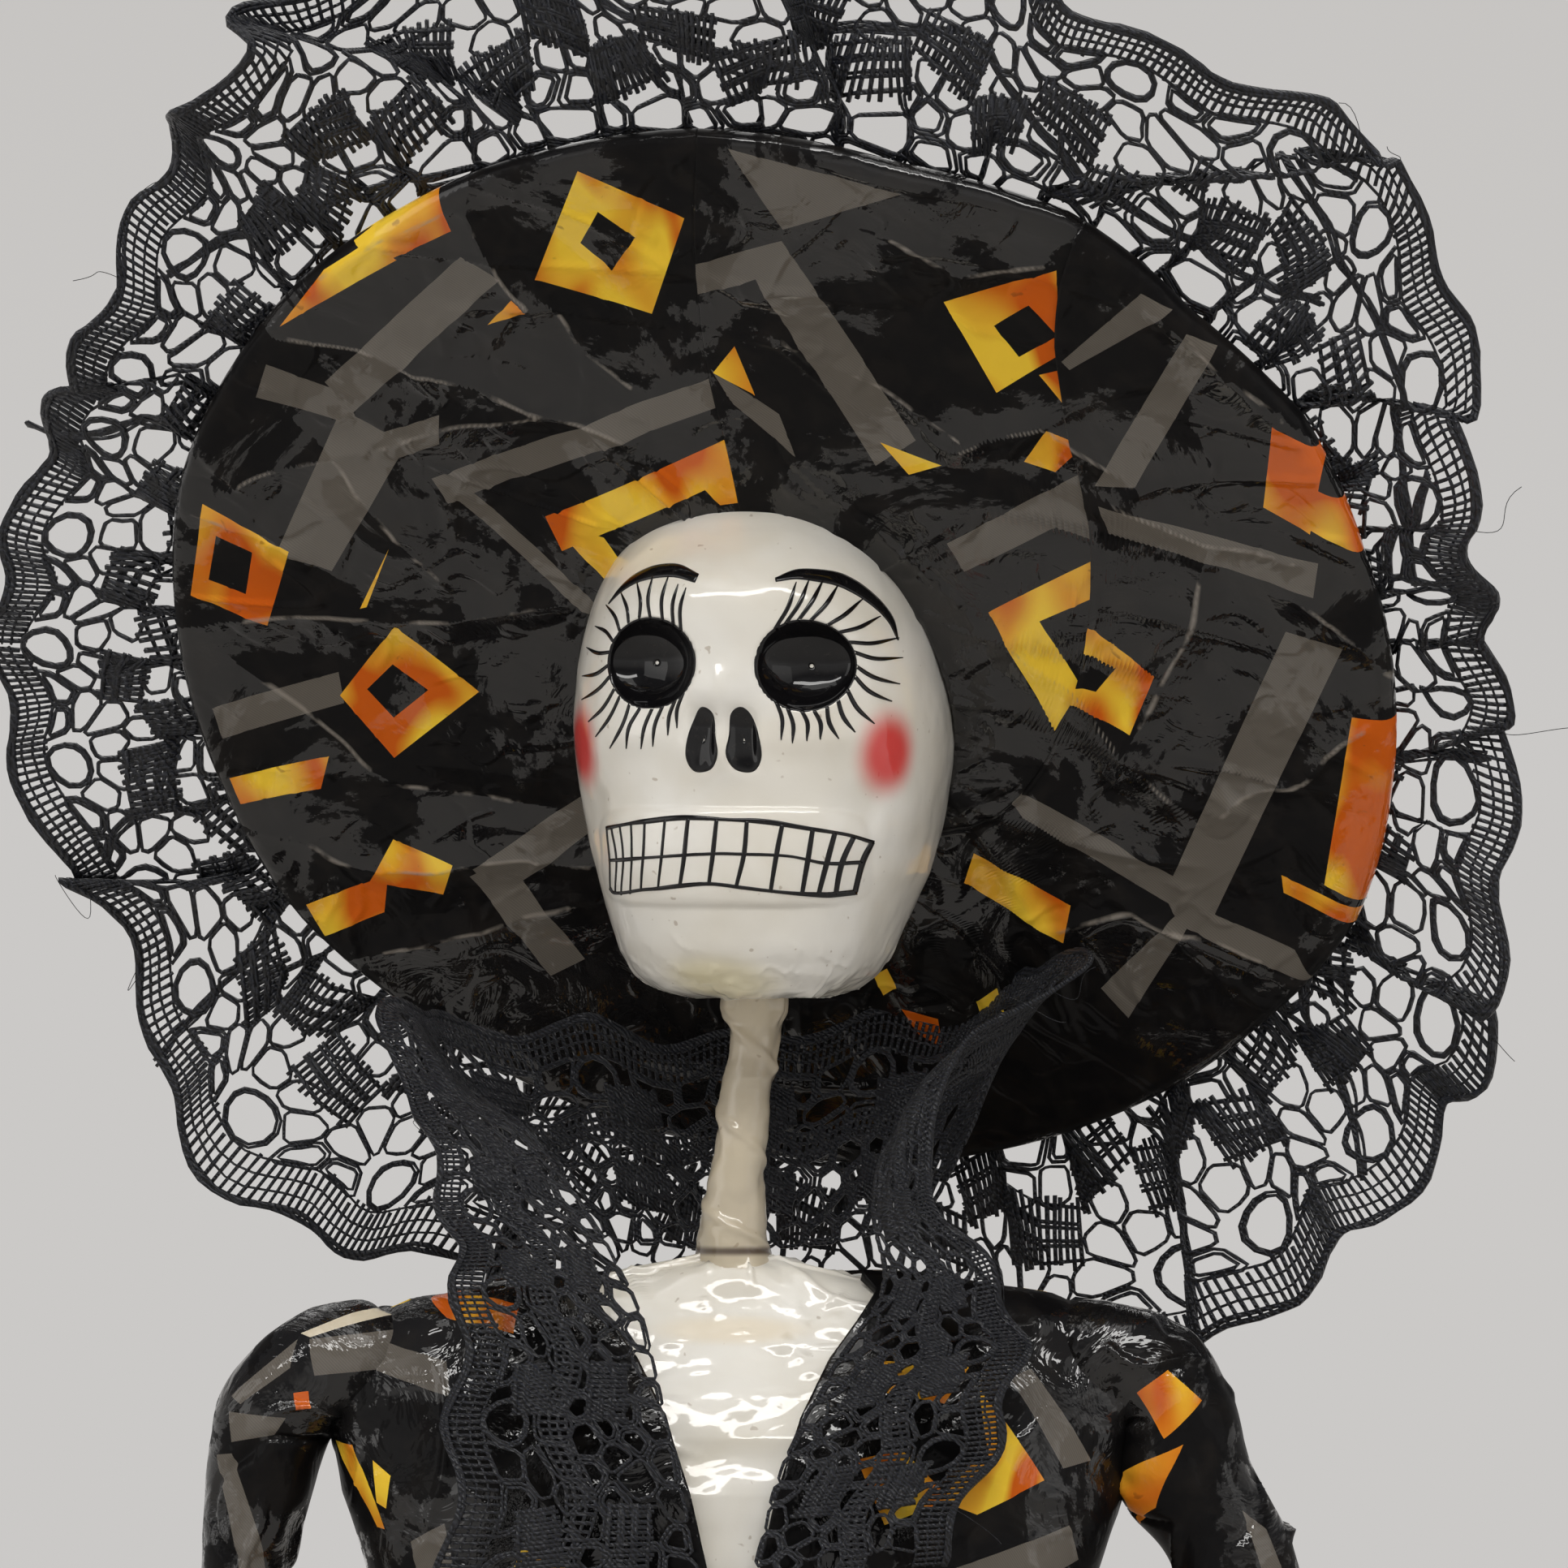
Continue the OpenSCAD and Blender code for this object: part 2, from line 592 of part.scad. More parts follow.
module little_right() { finger(1, knuckle, -3.6, -2.0, 10.8); }

base_board();
spine_wire();
arm_wire();
skirt_cone();
torso_core();
rib_cage();
neck();
skull();
hat_brim_board();
brim_paper_right();
brim_paper_middle();
brim_paper_left();
brim_paper_back();
hat_crown();
crown_paper();
hat_seam_strip();
hat_lace();
collar_lace();
bodice_left_front();
bodice_right_front();
bodice_back();
waist_band();
sleeve_left_upper();
sleeve_left_lower();
sleeve_right_upper();
sleeve_right_lower();
skirt_front();
skirt_left();
skirt_back();
skirt_right();
hem_lace();
palm_left();
palm_right();
thumb_left();
index_left();
middle_left();
ring_left();
little_left();
thumb_right();
index_right();
middle_right();
ring_right();
little_right();
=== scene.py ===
import math

import bpy
import numpy as np
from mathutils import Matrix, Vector


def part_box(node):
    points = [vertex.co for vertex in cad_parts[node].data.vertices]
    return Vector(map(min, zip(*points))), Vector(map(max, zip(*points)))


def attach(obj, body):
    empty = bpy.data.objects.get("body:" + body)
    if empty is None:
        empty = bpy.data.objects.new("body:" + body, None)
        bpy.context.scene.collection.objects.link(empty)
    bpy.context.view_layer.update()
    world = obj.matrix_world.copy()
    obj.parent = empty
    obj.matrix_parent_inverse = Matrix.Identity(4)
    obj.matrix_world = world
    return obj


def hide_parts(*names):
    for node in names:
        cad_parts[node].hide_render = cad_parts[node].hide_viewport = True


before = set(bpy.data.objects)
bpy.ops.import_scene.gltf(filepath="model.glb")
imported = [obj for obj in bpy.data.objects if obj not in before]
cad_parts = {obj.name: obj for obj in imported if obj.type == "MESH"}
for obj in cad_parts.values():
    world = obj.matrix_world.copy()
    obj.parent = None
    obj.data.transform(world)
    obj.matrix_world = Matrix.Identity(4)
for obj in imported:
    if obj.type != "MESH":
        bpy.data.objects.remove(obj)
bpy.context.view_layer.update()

# Everything below is worked out in millimetres and turned into metres when a mesh is made.
MM = 0.001


# ---- numbers and noise ----

def unit(v):
    return v / np.linalg.norm(v, axis=-1, keepdims=True)


def mix(a, b, t):
    return a + (b - a) * t


def ease(x, low, high):
    t = np.clip((x - low) / (high - low), 0, 1)
    return t * t * (3 - 2 * t)


def curve(x, xs, ys):
    """Smooth line through the points xs, ys, read at x."""
    xs, ys = np.asarray(xs, float), np.asarray(ys, float)
    slope = np.gradient(ys, xs)
    x = np.clip(x, xs[0], xs[-1])
    k = np.clip(np.searchsorted(xs, x) - 1, 0, len(xs) - 2)
    step = xs[k + 1] - xs[k]
    t = (x - xs[k]) / step
    return ((1 + 2 * t) * (1 - t) ** 2 * ys[k] + t * (1 - t) ** 2 * step * slope[k]
            + t * t * (3 - 2 * t) * ys[k + 1] + t * t * (t - 1) * step * slope[k + 1])


def spline(points, count):
    """count points evenly spaced in parameter along a smooth line through the points."""
    points = np.asarray(points, float)
    at = np.arange(len(points))
    x = np.linspace(0, len(points) - 1, count)
    return np.stack([curve(x, at, points[:, k]) for k in range(points.shape[1])], -1)


def hashed(cell, seed):
    """A number from 0 to 1 for each cell, scrambled with large primes, always the same for one seed."""
    mixed = (cell[..., 0] * 73856093) ^ (cell[..., 1] * 19349663)
    mixed = mixed ^ (cell[..., 2] * 83492791) ^ (seed * 2654435)
    mixed = (mixed & 0xFFFFFFFF) * 1274126177 & 0xFFFFFFFF
    mixed ^= mixed >> 15
    mixed = mixed * 1911520717 & 0xFFFFFFFF
    mixed ^= mixed >> 13
    return (mixed & 0xFFFFFF) / float(0xFFFFFF)


# Turns the cells of the noise, so that they never line up with a piece
NOISE_TURN = np.array([[0.74, -0.48, 0.47], [0.63, 0.73, -0.26], [-0.22, 0.49, 0.84]])


def noise(points, size, seed=0, flat=False):
    """Noise from -1 to 1 with cells of the given size; flat makes it of planes that meet in sharp lines."""
    points = np.asarray(points, float) / size
    if points.shape[-1] == 2:
        points = np.concatenate([points, np.full(points.shape[:-1] + (1,), 0.37)], -1)
    points = points @ NOISE_TURN
    low = np.floor(points).astype(np.int64)
    f = points - low
    if not flat:
        f = f * f * f * (f * (f * 6 - 15) + 10)
    total = 0
    for corner in range(8):
        offset = np.array([corner & 1, corner >> 1 & 1, corner >> 2 & 1])
        weight = np.prod(np.where(offset == 1, f, 1 - f), -1)
        total = total + weight * hashed(low + offset, seed)
    return total * 2 - 1


def rough(points, size, seed=0, octaves=3):
    return sum(noise(points, size / 2 ** k, seed + k) / 2 ** k for k in range(octaves))


def creases(points, size, seed=0, sharp=0.10):
    """Thin raised folds, as lacquered paper has: 1 on a fold's line, falling off quickly to its sides."""
    line = noise(points, size, seed)
    broken = ease(noise(points, size * 0.8, seed + 7), -0.15, 0.35)
    return np.exp(-(line / sharp) ** 2) * broken


def planes(points, size, seed=0):
    """Flat facets from -1 to 1 that meet in straight creases of any direction."""
    points = np.asarray(points, float)
    bend = np.stack([noise(points, size * 1.3, seed + k) for k in range(points.shape[-1])], -1)
    return noise(points + 0.55 * size * bend, size, seed + 5, flat=True)


# ---- meshes ----

def add_map(mesh, name, pairs):
    """Map coordinates for a mesh, one pair for each of its points."""
    index = np.empty(len(mesh.loops), np.int32)
    mesh.loops.foreach_get("vertex_index", index)
    layer = mesh.uv_layers.new(name=name)
    layer.data.foreach_set("uv", np.asarray(pairs, np.float32).reshape(-1, 2)[index].ravel())


def placed(name, mesh, material):
    """A smooth object in the scene, made from the mesh."""
    mesh.polygons.foreach_set("use_smooth", np.full(len(mesh.polygons), True))
    mesh.materials.append(material)
    made = bpy.data.objects.new(name, mesh)
    bpy.context.scene.collection.objects.link(made)
    return made


def mesh_object(name, points, faces, material, uv=None):
    """An object from points in millimetres and faces that all have the same number of corners."""
    mesh = bpy.data.meshes.new(name)
    points = np.asarray(points, float).reshape(-1, 3)
    faces = np.asarray(faces, np.int32)
    corners = faces.shape[1]
    mesh.vertices.add(len(points))
    mesh.vertices.foreach_set("co", (points * MM).astype(np.float32).ravel())
    mesh.loops.add(faces.size)
    mesh.loops.foreach_set("vertex_index", faces.ravel())
    mesh.polygons.add(len(faces))
    mesh.polygons.foreach_set("loop_start", np.arange(len(faces), dtype=np.int32) * corners)
    mesh.update(calc_edges=True)
    if uv is not None:
        add_map(mesh, "print", uv)
    return placed(name, mesh, material)


def grid_faces(rows, columns, wrap=False):
    """Faces of a grid of points, its last row joined to its first with wrap."""
    i = np.arange(rows if wrap else rows - 1)[:, None]
    j = np.arange(columns - 1)[None, :]
    k = (i + 1) % rows
    a, b = i * columns + j, k * columns + j
    return np.stack([a, b, b + 1, a + 1], -1).reshape(-1, 4)


def both_sides(pairs):
    """Map coordinates of a shell's outer grid, used for its inner grid too."""
    return np.concatenate([pairs.reshape(-1, 2)] * 2)


def shell(name, outer, inner, material, wrap=False, uv=None):
    """Closed thin solid between two grids of points, the last row joined to the first with wrap."""
    rows, columns = outer.shape[:2]
    count = rows * columns
    faces = grid_faces(rows, columns, wrap)
    i = np.arange(rows if wrap else rows - 1)
    k = (i + 1) % rows
    edges = [np.stack([i * columns, i * columns + count, k * columns + count, k * columns], -1),
             np.stack([k, k, i, i], -1) * columns + columns - 1 + np.array([0, count, count, 0])]
    if not wrap:
        j = np.arange(columns - 1)
        last = (rows - 1) * columns
        edges += [np.stack([j + 1, j + 1 + count, j + count, j], -1),
                  np.stack([j, j + count, j + 1 + count, j + 1], -1) + last]
    faces = np.concatenate([faces, faces[:, ::-1] + count] + edges)
    middle = (rows // 2, columns // 2)
    du = outer[(middle[0] + 1) % rows, middle[1]] - outer[middle]
    dv = outer[middle[0], middle[1] + 1] - outer[middle]
    if np.dot(np.cross(du, dv), outer[middle] - inner[middle]) < 0:
        faces = faces[:, ::-1]
    points = np.concatenate([outer.reshape(-1, 3), inner.reshape(-1, 3)])
    return mesh_object(name, points, faces, material, None if uv is None else both_sides(uv))


def closed_stack(name, rings, material, uv=None):
    """Closed solid through rings of points, capped at both ends."""
    count, sides = rings.shape[:2]
    ends = np.stack([rings[0].mean(0), rings[-1].mean(0)])
    points = np.concatenate([rings.reshape(-1, 3), ends])
    i, j = np.arange(count - 1)[:, None], np.arange(sides)[None, :]
    a, b = i * sides + j, i * sides + (j + 1) % sides
    walls = np.stack([a, b, b + sides, a + sides], -1).reshape(-1, 4)
    first, last = count * sides, count * sides + 1
    j = np.arange(sides)
    n = (j + 1) % sides
    top = (count - 1) * sides
    caps = np.concatenate([np.stack([j * 0 + first, n, j, j * 0 + first], -1),
                           np.stack([j * 0 + last, top + j, top + n, j * 0 + last], -1)])
    mesh = bpy.data.meshes.new(name)
    mesh.from_pydata([tuple(p * MM) for p in points], [],
                     [tuple(f) for f in walls] + [tuple(f[:3]) for f in caps])
    if uv is not None:
        end_pairs = np.stack([uv[0].mean(0), uv[-1].mean(0)])
        add_map(mesh, "print", np.concatenate([uv.reshape(-1, 2), end_pairs]))
    return placed(name, mesh, material)


def tube_rings(path, radius, sides):
    """Rings round a path. radius is one number, one per point, or a points x sides grid."""
    path = np.asarray(path, float)
    ahead = unit(np.gradient(path, axis=0))
    side = unit(np.cross(ahead, np.array([0.13, 0.97, 0.2])))
    up = np.cross(ahead, side)
    a = np.linspace(0, 2 * math.pi, sides, endpoint=False)
    radius = np.asarray(radius, float).reshape(len(np.atleast_1d(radius)), -1)
    radius = np.broadcast_to(radius, (len(path), sides))
    spoke = side[:, None] * np.cos(a)[None, :, None] + up[:, None] * np.sin(a)[None, :, None]
    return path[:, None] + spoke * radius[..., None]


# ---- materials ----

class Tree:
    """Short calls for a material's nodes. A value is a number, a colour or another node's output."""

    def __init__(self, name):
        self.material = bpy.data.materials.new(name)
        self.material.use_nodes = True
        self.tree = self.material.node_tree
        self.shader = self.tree.nodes["Principled BSDF"]

    def node(self, kind, inputs=(), **settings):
        made = self.tree.nodes.new("ShaderNode" + kind)
        for key, value in settings.items():
            setattr(made, key, value)
        for key, value in dict(inputs).items():
            self.put(made.inputs[key], value)
        return made

    def put(self, socket, value):
        if isinstance(value, bpy.types.NodeSocket):
            self.tree.links.new(value, socket)
        else:
            socket.default_value = value

    def math(self, operation, *values):
        made = self.node("Math", enumerate(values), operation=operation)
        return made.outputs[0]

    def vector(self, operation, *values):
        made = self.node("VectorMath", enumerate(values), operation=operation)
        return made.outputs["Value" if operation in ("DOT_PRODUCT", "LENGTH") else "Vector"]

    def blend(self, share, a, b):
        made = self.node("Mix", data_type="RGBA")
        factor, colour_a, colour_b = made.inputs[0], made.inputs[6], made.inputs[7]
        self.put(factor, share)
        self.put(colour_a, a)
        self.put(colour_b, b)
        return made.outputs[2]

    def noise(self, where, scale, detail=2.0, distortion=0.0, rough=0.5):
        made = self.node("TexNoise", {"Vector": where, "Scale": scale, "Detail": detail,
                                      "Distortion": distortion, "Roughness": rough})
        return made.outputs["Fac"]

    def ramp(self, value, low, high, to_low=0.0, to_high=1.0, form="LINEAR"):
        made = self.node("MapRange", {"Value": value, "From Min": low, "From Max": high,
                                      "To Min": to_low, "To Max": to_high}, interpolation_type=form)
        return made.outputs["Result"]

    def bump(self, height, distance, strength=1.0, under=None):
        made = self.node("Bump", {"Height": height, "Distance": distance, "Strength": strength})
        if under is not None:
            self.put(made.inputs["Normal"], under)
        return made.outputs["Normal"]

    def place(self):
        return self.node("TexCoord").outputs["Object"]

    def set(self, **values):
        for key, value in values.items():
            self.put(self.shader.inputs[key.replace("_", " ")], value)
        return self.material


def rgb(red, green, blue):
    """Colour as it looks on a screen, 0 to 255, made linear."""
    def channel(c):
        c /= 255
        return c / 12.92 if c <= 0.04045 else ((c + 0.055) / 1.055) ** 2.4
    return (channel(red), channel(green), channel(blue), 1.0)


INK_BLACK = rgb(13, 12, 13)
INK_BROWN = rgb(27, 24, 22)
INK_GREY = rgb(106, 100, 92)
GOLD_DARK = rgb(212, 96, 14)
GOLD_LIGHT = rgb(255, 212, 62)
IVORY = rgb(240, 237, 229)
CREAM = rgb(216, 204, 180)
WALL = rgb(203, 201, 199)


def inside_corners(t, where, corners):
    """1 inside a straight-edged outline, 0 outside."""
    corners = np.array(corners, float)
    middle = corners.mean(0)
    nearest = None
    for a, b in zip(corners, np.roll(corners, -1, axis=0)):
        normal = unit(np.array([b[1] - a[1], a[0] - b[0]]))
        normal = normal if np.dot(normal, middle - a) > 0 else -normal
        along = t.vector("DOT_PRODUCT", where, (*normal, 0.0))
        beyond = t.math("SUBTRACT", along, float(np.dot(normal, a)))
        nearest = beyond if nearest is None else t.math("MINIMUM", nearest, beyond)
    return t.math("GREATER_THAN", nearest, 0.0)


def gold(*corners, hole=None):
    """A gold shape of a print: its corners, and the corners of the hole in it."""
    return "gold", corners, hole


def grey(*corners):
    return "grey", corners, None


def cream(*corners):
    return "cream", corners, None


def inked(t, where, motifs):
    """Masks of the grey, gold and torn cream shapes at a place on the paper."""
    masks = {"grey": 0.0, "gold": 0.0, "cream": 0.0}
    for ink, corners, hole in motifs:
        inside = inside_corners(t, where, corners)
        if hole:
            inside = t.math("SUBTRACT", inside, inside_corners(t, where, hole))
        masks[ink] = t.math("MAXIMUM", masks[ink], inside)
    return masks


# How far each row of the repeated print is moved along, as a share of the tile
ROW_SHIFT = 0.37


def printed_paper(name, motifs, tile=None, crumple=0.0006, folded=False):
    """
    Black gift paper with grey bands and gold squares, under lacquer that is glossy in patches.
    With tile the print repeats; with folded the "folds" map paints light highlight lines along the creases
    and moves the gloss to one side of each.
    """
    t = Tree(name)
    here = t.node("UVMap", uv_map="print").outputs["UV"]
    where = here
    if tile:
        spot = t.node("SeparateXYZ", {"Vector": here}).outputs
        row = t.math("FLOOR", t.math("ADD", t.math("DIVIDE", spot["Y"], tile), 0.5))
        across = t.math("ADD", spot["X"], t.math("MULTIPLY", row, tile * ROW_SHIFT))
        where = t.node("CombineXYZ", {"X": across, "Y": spot["Y"]}).outputs[0]
        where = t.vector("WRAP", where, (tile / 2, tile / 2, 1.0), (-tile / 2, -tile / 2, -1.0))
    inks = inked(t, where, motifs)
    place = t.place()
    stain = t.noise(place, 260.0, 4.0, 0.4)
    black = t.blend(t.ramp(stain, 0.45, 0.75), INK_BLACK, INK_BROWN)
    weave = t.node("TexWave", {"Vector": here, "Scale": 1.7, "Distortion": 0.3}, wave_type="BANDS",
                   bands_direction="DIAGONAL").outputs["Fac"]
    band = t.blend(t.math("MULTIPLY", weave, 0.5), INK_GREY, rgb(84, 79, 73))
    streak = t.noise(t.vector("MULTIPLY", here, (1.0, 0.5, 1.0)), 0.12, 1.0, 0.6)
    metal = t.blend(t.ramp(streak, 0.40, 0.62), GOLD_DARK, GOLD_LIGHT)
    dirt = t.noise(place, 520.0, 2.0, 0.5)
    metal = t.blend(t.ramp(dirt, 0.70, 0.76, 0.0, 0.5), metal, rgb(120, 66, 22))
    colour = t.blend(inks["gold"], t.blend(inks["grey"], black, band), metal)
    colour = t.blend(inks["cream"], colour, CREAM)
    wide = t.noise(place, 48.0, 9.0, 0.5, 0.68)
    if folded:
        fold_map = t.node("UVMap", uv_map="folds").outputs["UV"]
        folds = t.node("SeparateXYZ", {"Vector": fold_map}).outputs
        wide = t.math("ADD", wide, folds["Y"])
        broken = t.ramp(t.noise(place, 200.0, 4.0), 0.47, 0.56)
        # Painted highlight: light grey lines along the brim's creases, broken up by noise, stand in for the
        # light caught on the fold ridges.
        painted_crease_highlight = t.math("MULTIPLY", t.ramp(folds["X"], 0.36, 0.06), broken)
        colour = t.blend(t.math("MULTIPLY", painted_crease_highlight, 0.6), colour, rgb(158, 150, 140))
    gloss = t.ramp(wide, 0.49, 0.505, 0.10, 1.0)
    fine = t.noise(place, 420.0, 3.0, 0.2)
    crinkle = t.noise(place, 130.0, 4.0, 1.2)
    paper = t.bump(fine, 0.00012, 0.5)
    film = t.bump(crinkle, crumple, 0.6, t.bump(fine, 0.0001, 0.35))
    return t.set(Base_Color=colour, Roughness=t.ramp(stain, 0.2, 0.8, 0.42, 0.6), Normal=paper,
                 Specular_IOR_Level=0.07, Coat_Weight=gloss, Coat_Roughness=0.04, Coat_IOR=1.53,
                 Coat_Normal=film)


# Repeat of the gift paper's print, for the pieces that are seen only in part
PAPER_TILE = 44.0
PAPER_REPEAT = [
    gold((-14, 8), (-4, 12), (0, 1), (-10, -3),
         hole=[(-9.6, 6.6), (-5.6, 6.8), (-4.6, 2.8), (-8.4, 2)]),
    gold((6, -8), (18, -12), (17, -16), (4, -12)),
    gold((14, -12), (19, -12), (20, -3), (16, -4)),
    gold((9, 19), (14, 12), (18, 18)),
    grey((-21, -14), (-18, -18), (-2, -9), (-4, -5)),
    grey((-5, -6), (-1, -9), (2, -21), (-2, -21)),
    grey((3, 3), (7, 1), (19, 8), (17, 12)),
    grey((3, 3), (7, 4), (2, 21), (-2, 20)),
    grey((-21, 14), (-19, 10), (-12, 17), (-14, 21)),
]


def white_lacquer(name, marks=(), warm=0.0, pale=IVORY, crumple=0.0003):
    """Ivory papier-mache under glossy lacquer. marks are soft spots of colour, such as painted cheeks,
    stains and painted shade: place, reach, colour and strength.
    """
    t = Tree(name)
    place = t.place()
    patch = t.noise(place, 70.0, 3.0, 0.5)
    yellowed = rgb(228 - 14 * warm, 222 - 18 * warm, 208 - 26 * warm)
    colour = t.blend(t.ramp(patch, 0.35, 0.7), pale, yellowed)
    speck = t.noise(place, 900.0, 1.0)
    colour = t.blend(t.ramp(speck, 0.74, 0.78, 0.0, 0.5), colour, rgb(150, 128, 100))
    for centre, reach, shade, strength in marks:
        local = t.node("Mapping", {"Vector": place, "Location": tuple(np.array(centre) * MM),
                                   "Scale": tuple(np.array(reach) * MM)}, vector_type="TEXTURE").outputs[0]
        away = t.vector("LENGTH", local)
        colour = t.blend(t.ramp(away, 0.25, 1.0, strength, 0.0, "SMOOTHERSTEP"), colour, shade)
    lump = t.noise(place, 160.0, 2.0, 0.3)
    grain = t.noise(place, 800.0, 2.0)
    base = t.bump(grain, 0.00005, 0.4)
    film = t.bump(lump, crumple, 0.35, base)
    return t.set(Base_Color=colour, Roughness=t.ramp(patch, 0.3, 0.7, 0.34, 0.46), Normal=base,
                 Coat_Weight=1.0, Coat_Roughness=0.05, Coat_IOR=1.5, Coat_Normal=film)


def black_paint(name):
    t = Tree(name)
    place = t.place()
    worn = t.noise(place, 1500.0, 2.0)
    colour = t.blend(t.ramp(worn, 0.6, 0.8), rgb(10, 9, 11), rgb(34, 30, 28))
    return t.set(Base_Color=colour, Roughness=0.35, Normal=t.bump(worn, 0.00003, 0.4),
                 Specular_IOR_Level=0.05, Coat_Weight=1.0, Coat_Roughness=0.03, Coat_IOR=1.42)


def black_thread(name):
    t = Tree(name)
    place = t.place()
    twist = t.node("TexWave", {"Vector": place, "Scale": 900.0, "Distortion": 6.0, "Detail": 2.0},
                   wave_type="BANDS", bands_direction="DIAGONAL").outputs["Fac"]
    tone = t.noise(place, 60.0, 2.0)
    colour = t.blend(twist, rgb(6, 6, 8), rgb(32, 35, 44))
    colour = t.blend(t.ramp(tone, 0.4, 0.7, 0.0, 0.5), colour, rgb(18, 20, 29))
    return t.set(Base_Color=colour, Roughness=t.ramp(twist, 0.0, 1.0, 0.55, 0.36),
                 Normal=t.bump(twist, 0.00014, 0.9), Sheen_Weight=0.05, Sheen_Roughness=0.4,
                 Specular_IOR_Level=0.5)


def card(name):
    t = Tree(name)
    place = t.place()
    fibre = t.noise(t.vector("MULTIPLY", place, (1.0, 1.0, 0.25)), 900.0, 4.0, 0.5)
    blot = t.noise(place, 60.0, 3.0)
    colour = t.blend(t.ramp(fibre, 0.3, 0.7), rgb(150, 124, 92), rgb(182, 158, 124))
    colour = t.blend(t.ramp(blot, 0.5, 0.8, 0.0, 0.4), colour, rgb(120, 98, 74))
    return t.set(Base_Color=colour, Roughness=0.85, Normal=t.bump(fibre, 0.0001, 0.6))


def wire_steel(name):
    t = Tree(name)
    place = t.place()
    drawn = t.noise(t.vector("MULTIPLY", place, (1.0, 1.0, 0.1)), 1500.0, 3.0)
    colour = t.blend(drawn, rgb(120, 120, 122), rgb(170, 170, 172))
    return t.set(Base_Color=colour, Metallic=1.0, Roughness=t.ramp(drawn, 0.3, 0.7, 0.3, 0.5),
                 Normal=t.bump(drawn, 0.00003, 0.5))


def studio_paper(name, shade):
    """Pale paper that glows with emitted light in the wall's colour, more the farther it is from the figure:
    painted light that keeps the far floor pale.
    """
    t = Tree(name)
    cloud = t.noise(t.place(), 1.2, 2.0)
    r, g, b = shade
    colour = t.blend(cloud, rgb(r - 2, g - 2, b - 2), rgb(r + 2, g + 2, b + 2))
    away = t.vector("LENGTH", t.place())
    # Painted light: emission that grows with distance from the figure, so the far floor glows pale though no
    # lamp lights it.
    glow = t.ramp(away, 0.5, 2.8, 0.0, 0.85, "SMOOTHSTEP")
    return t.set(Base_Color=colour, Roughness=0.9, Specular_IOR_Level=0.2, Emission_Strength=glow,
                 Emission_Color=WALL)


LACE = black_thread("lace_thread")
PAINT = black_paint("black_enamel")
CARD = card("grey_card")
STEEL = wire_steel("galvanised_wire")


def own(piece, slot, *nodes):
    """The piece rides the figure's one body and stands for its CAD nodes, which it hides. slot is not used.
    """
    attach(piece, "root")
    if nodes:
        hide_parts(*nodes)
    return piece


# ---- camera ----

def box_mm(node):
    low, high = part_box(node)
    return np.array(low) / MM, np.array(high) / MM


SKULL_LOW, SKULL_HIGH = box_mm("skull")
CHIN_Z = SKULL_LOW[2]
# Width of what the camera sees at the figure, and its distance from it
VIEW_WIDTH = 165.13
CAMERA_AWAY = 1600.0
SENSOR = 36.0
AIM = np.array([(SKULL_LOW[0] + SKULL_HIGH[0]) / 2 + 2.0, 0.0, CHIN_Z + 22.4])

camera_data = bpy.data.cameras.new("camera")
camera_data.sensor_width = SENSOR
camera_data.lens = SENSOR * CAMERA_AWAY / VIEW_WIDTH
camera_data.clip_start = 0.05
camera_data.clip_end = 20.0
camera = bpy.data.objects.new("camera", camera_data)
camera.location = tuple((AIM + [0, -CAMERA_AWAY, 0]) * MM)
camera.rotation_euler = (math.pi / 2, 0, 0)
bpy.context.scene.collection.objects.link(camera)
bpy.context.scene.camera = camera


# ---- head ----

HEAD_TURN = math.radians(13.4)
HEAD_SIDE = np.array([math.cos(HEAD_TURN), -math.sin(HEAD_TURN), 0])
HEAD_BACK = np.array([math.sin(HEAD_TURN), math.cos(HEAD_TURN), 0])
HEAD_CENTRE = np.array([(SKULL_LOW[0] + SKULL_HIGH[0]) / 2, 0, 0])
# Half width of the skull, and how squarish its outline is from above
SKULL_W = 19.6
SQUARE = 2.3
SKULL_TOP = SKULL_HIGH[2] - CHIN_Z

# Height above the chin, half width as a share, depth to the face, depth to the back
SKULL_ROWS = np.array([
    [0, 0.37, 12.0, 3.6], [0.5, 0.49, 14.2, 5.2], [1.6, 0.61, 16.2, 7.2], [4, 0.72, 18.2, 9.8],
    [7.6, 0.79, 19.6, 13.4], [11, 0.84, 20.4, 16.8], [15, 0.895, 20.9, 19.2], [19.5, 0.945, 20.9, 21.6],
    [24, 0.985, 21.2, 23.2], [28, 1.0, 21.6, 24.2], [32.5, 0.99, 21.9, 24.4], [36.6, 0.957, 22.2, 23.6],
    [40, 0.91, 22.2, 22.3], [43, 0.855, 21.4, 20.4], [46, 0.78, 19.4, 18.0], [49, 0.67, 16.4, 15.2],
    [52.4, 0.485, 11.8, 11], [54.8, 0.28, 6.6, 6.4], [56.0, 0.04, 0.9, 0.9]])
# Eyes: place across, height above the chin, half width, half height
EYES = [(-7.3, 35.0, 5.2, 4.75), (9.0, 34.7, 4.8, 4.75)]
EYE_DEPTH = 3.6
# The inner side of the black paint, off the face
PAINT_FOOT = -0.15


def skull_size(h):
    """Share of the half width, depth to the face and depth to the back, at a height above the chin."""
    return [curve(h, SKULL_ROWS[:, 0], SKULL_ROWS[:, k]) for k in (1, 2, 3)]


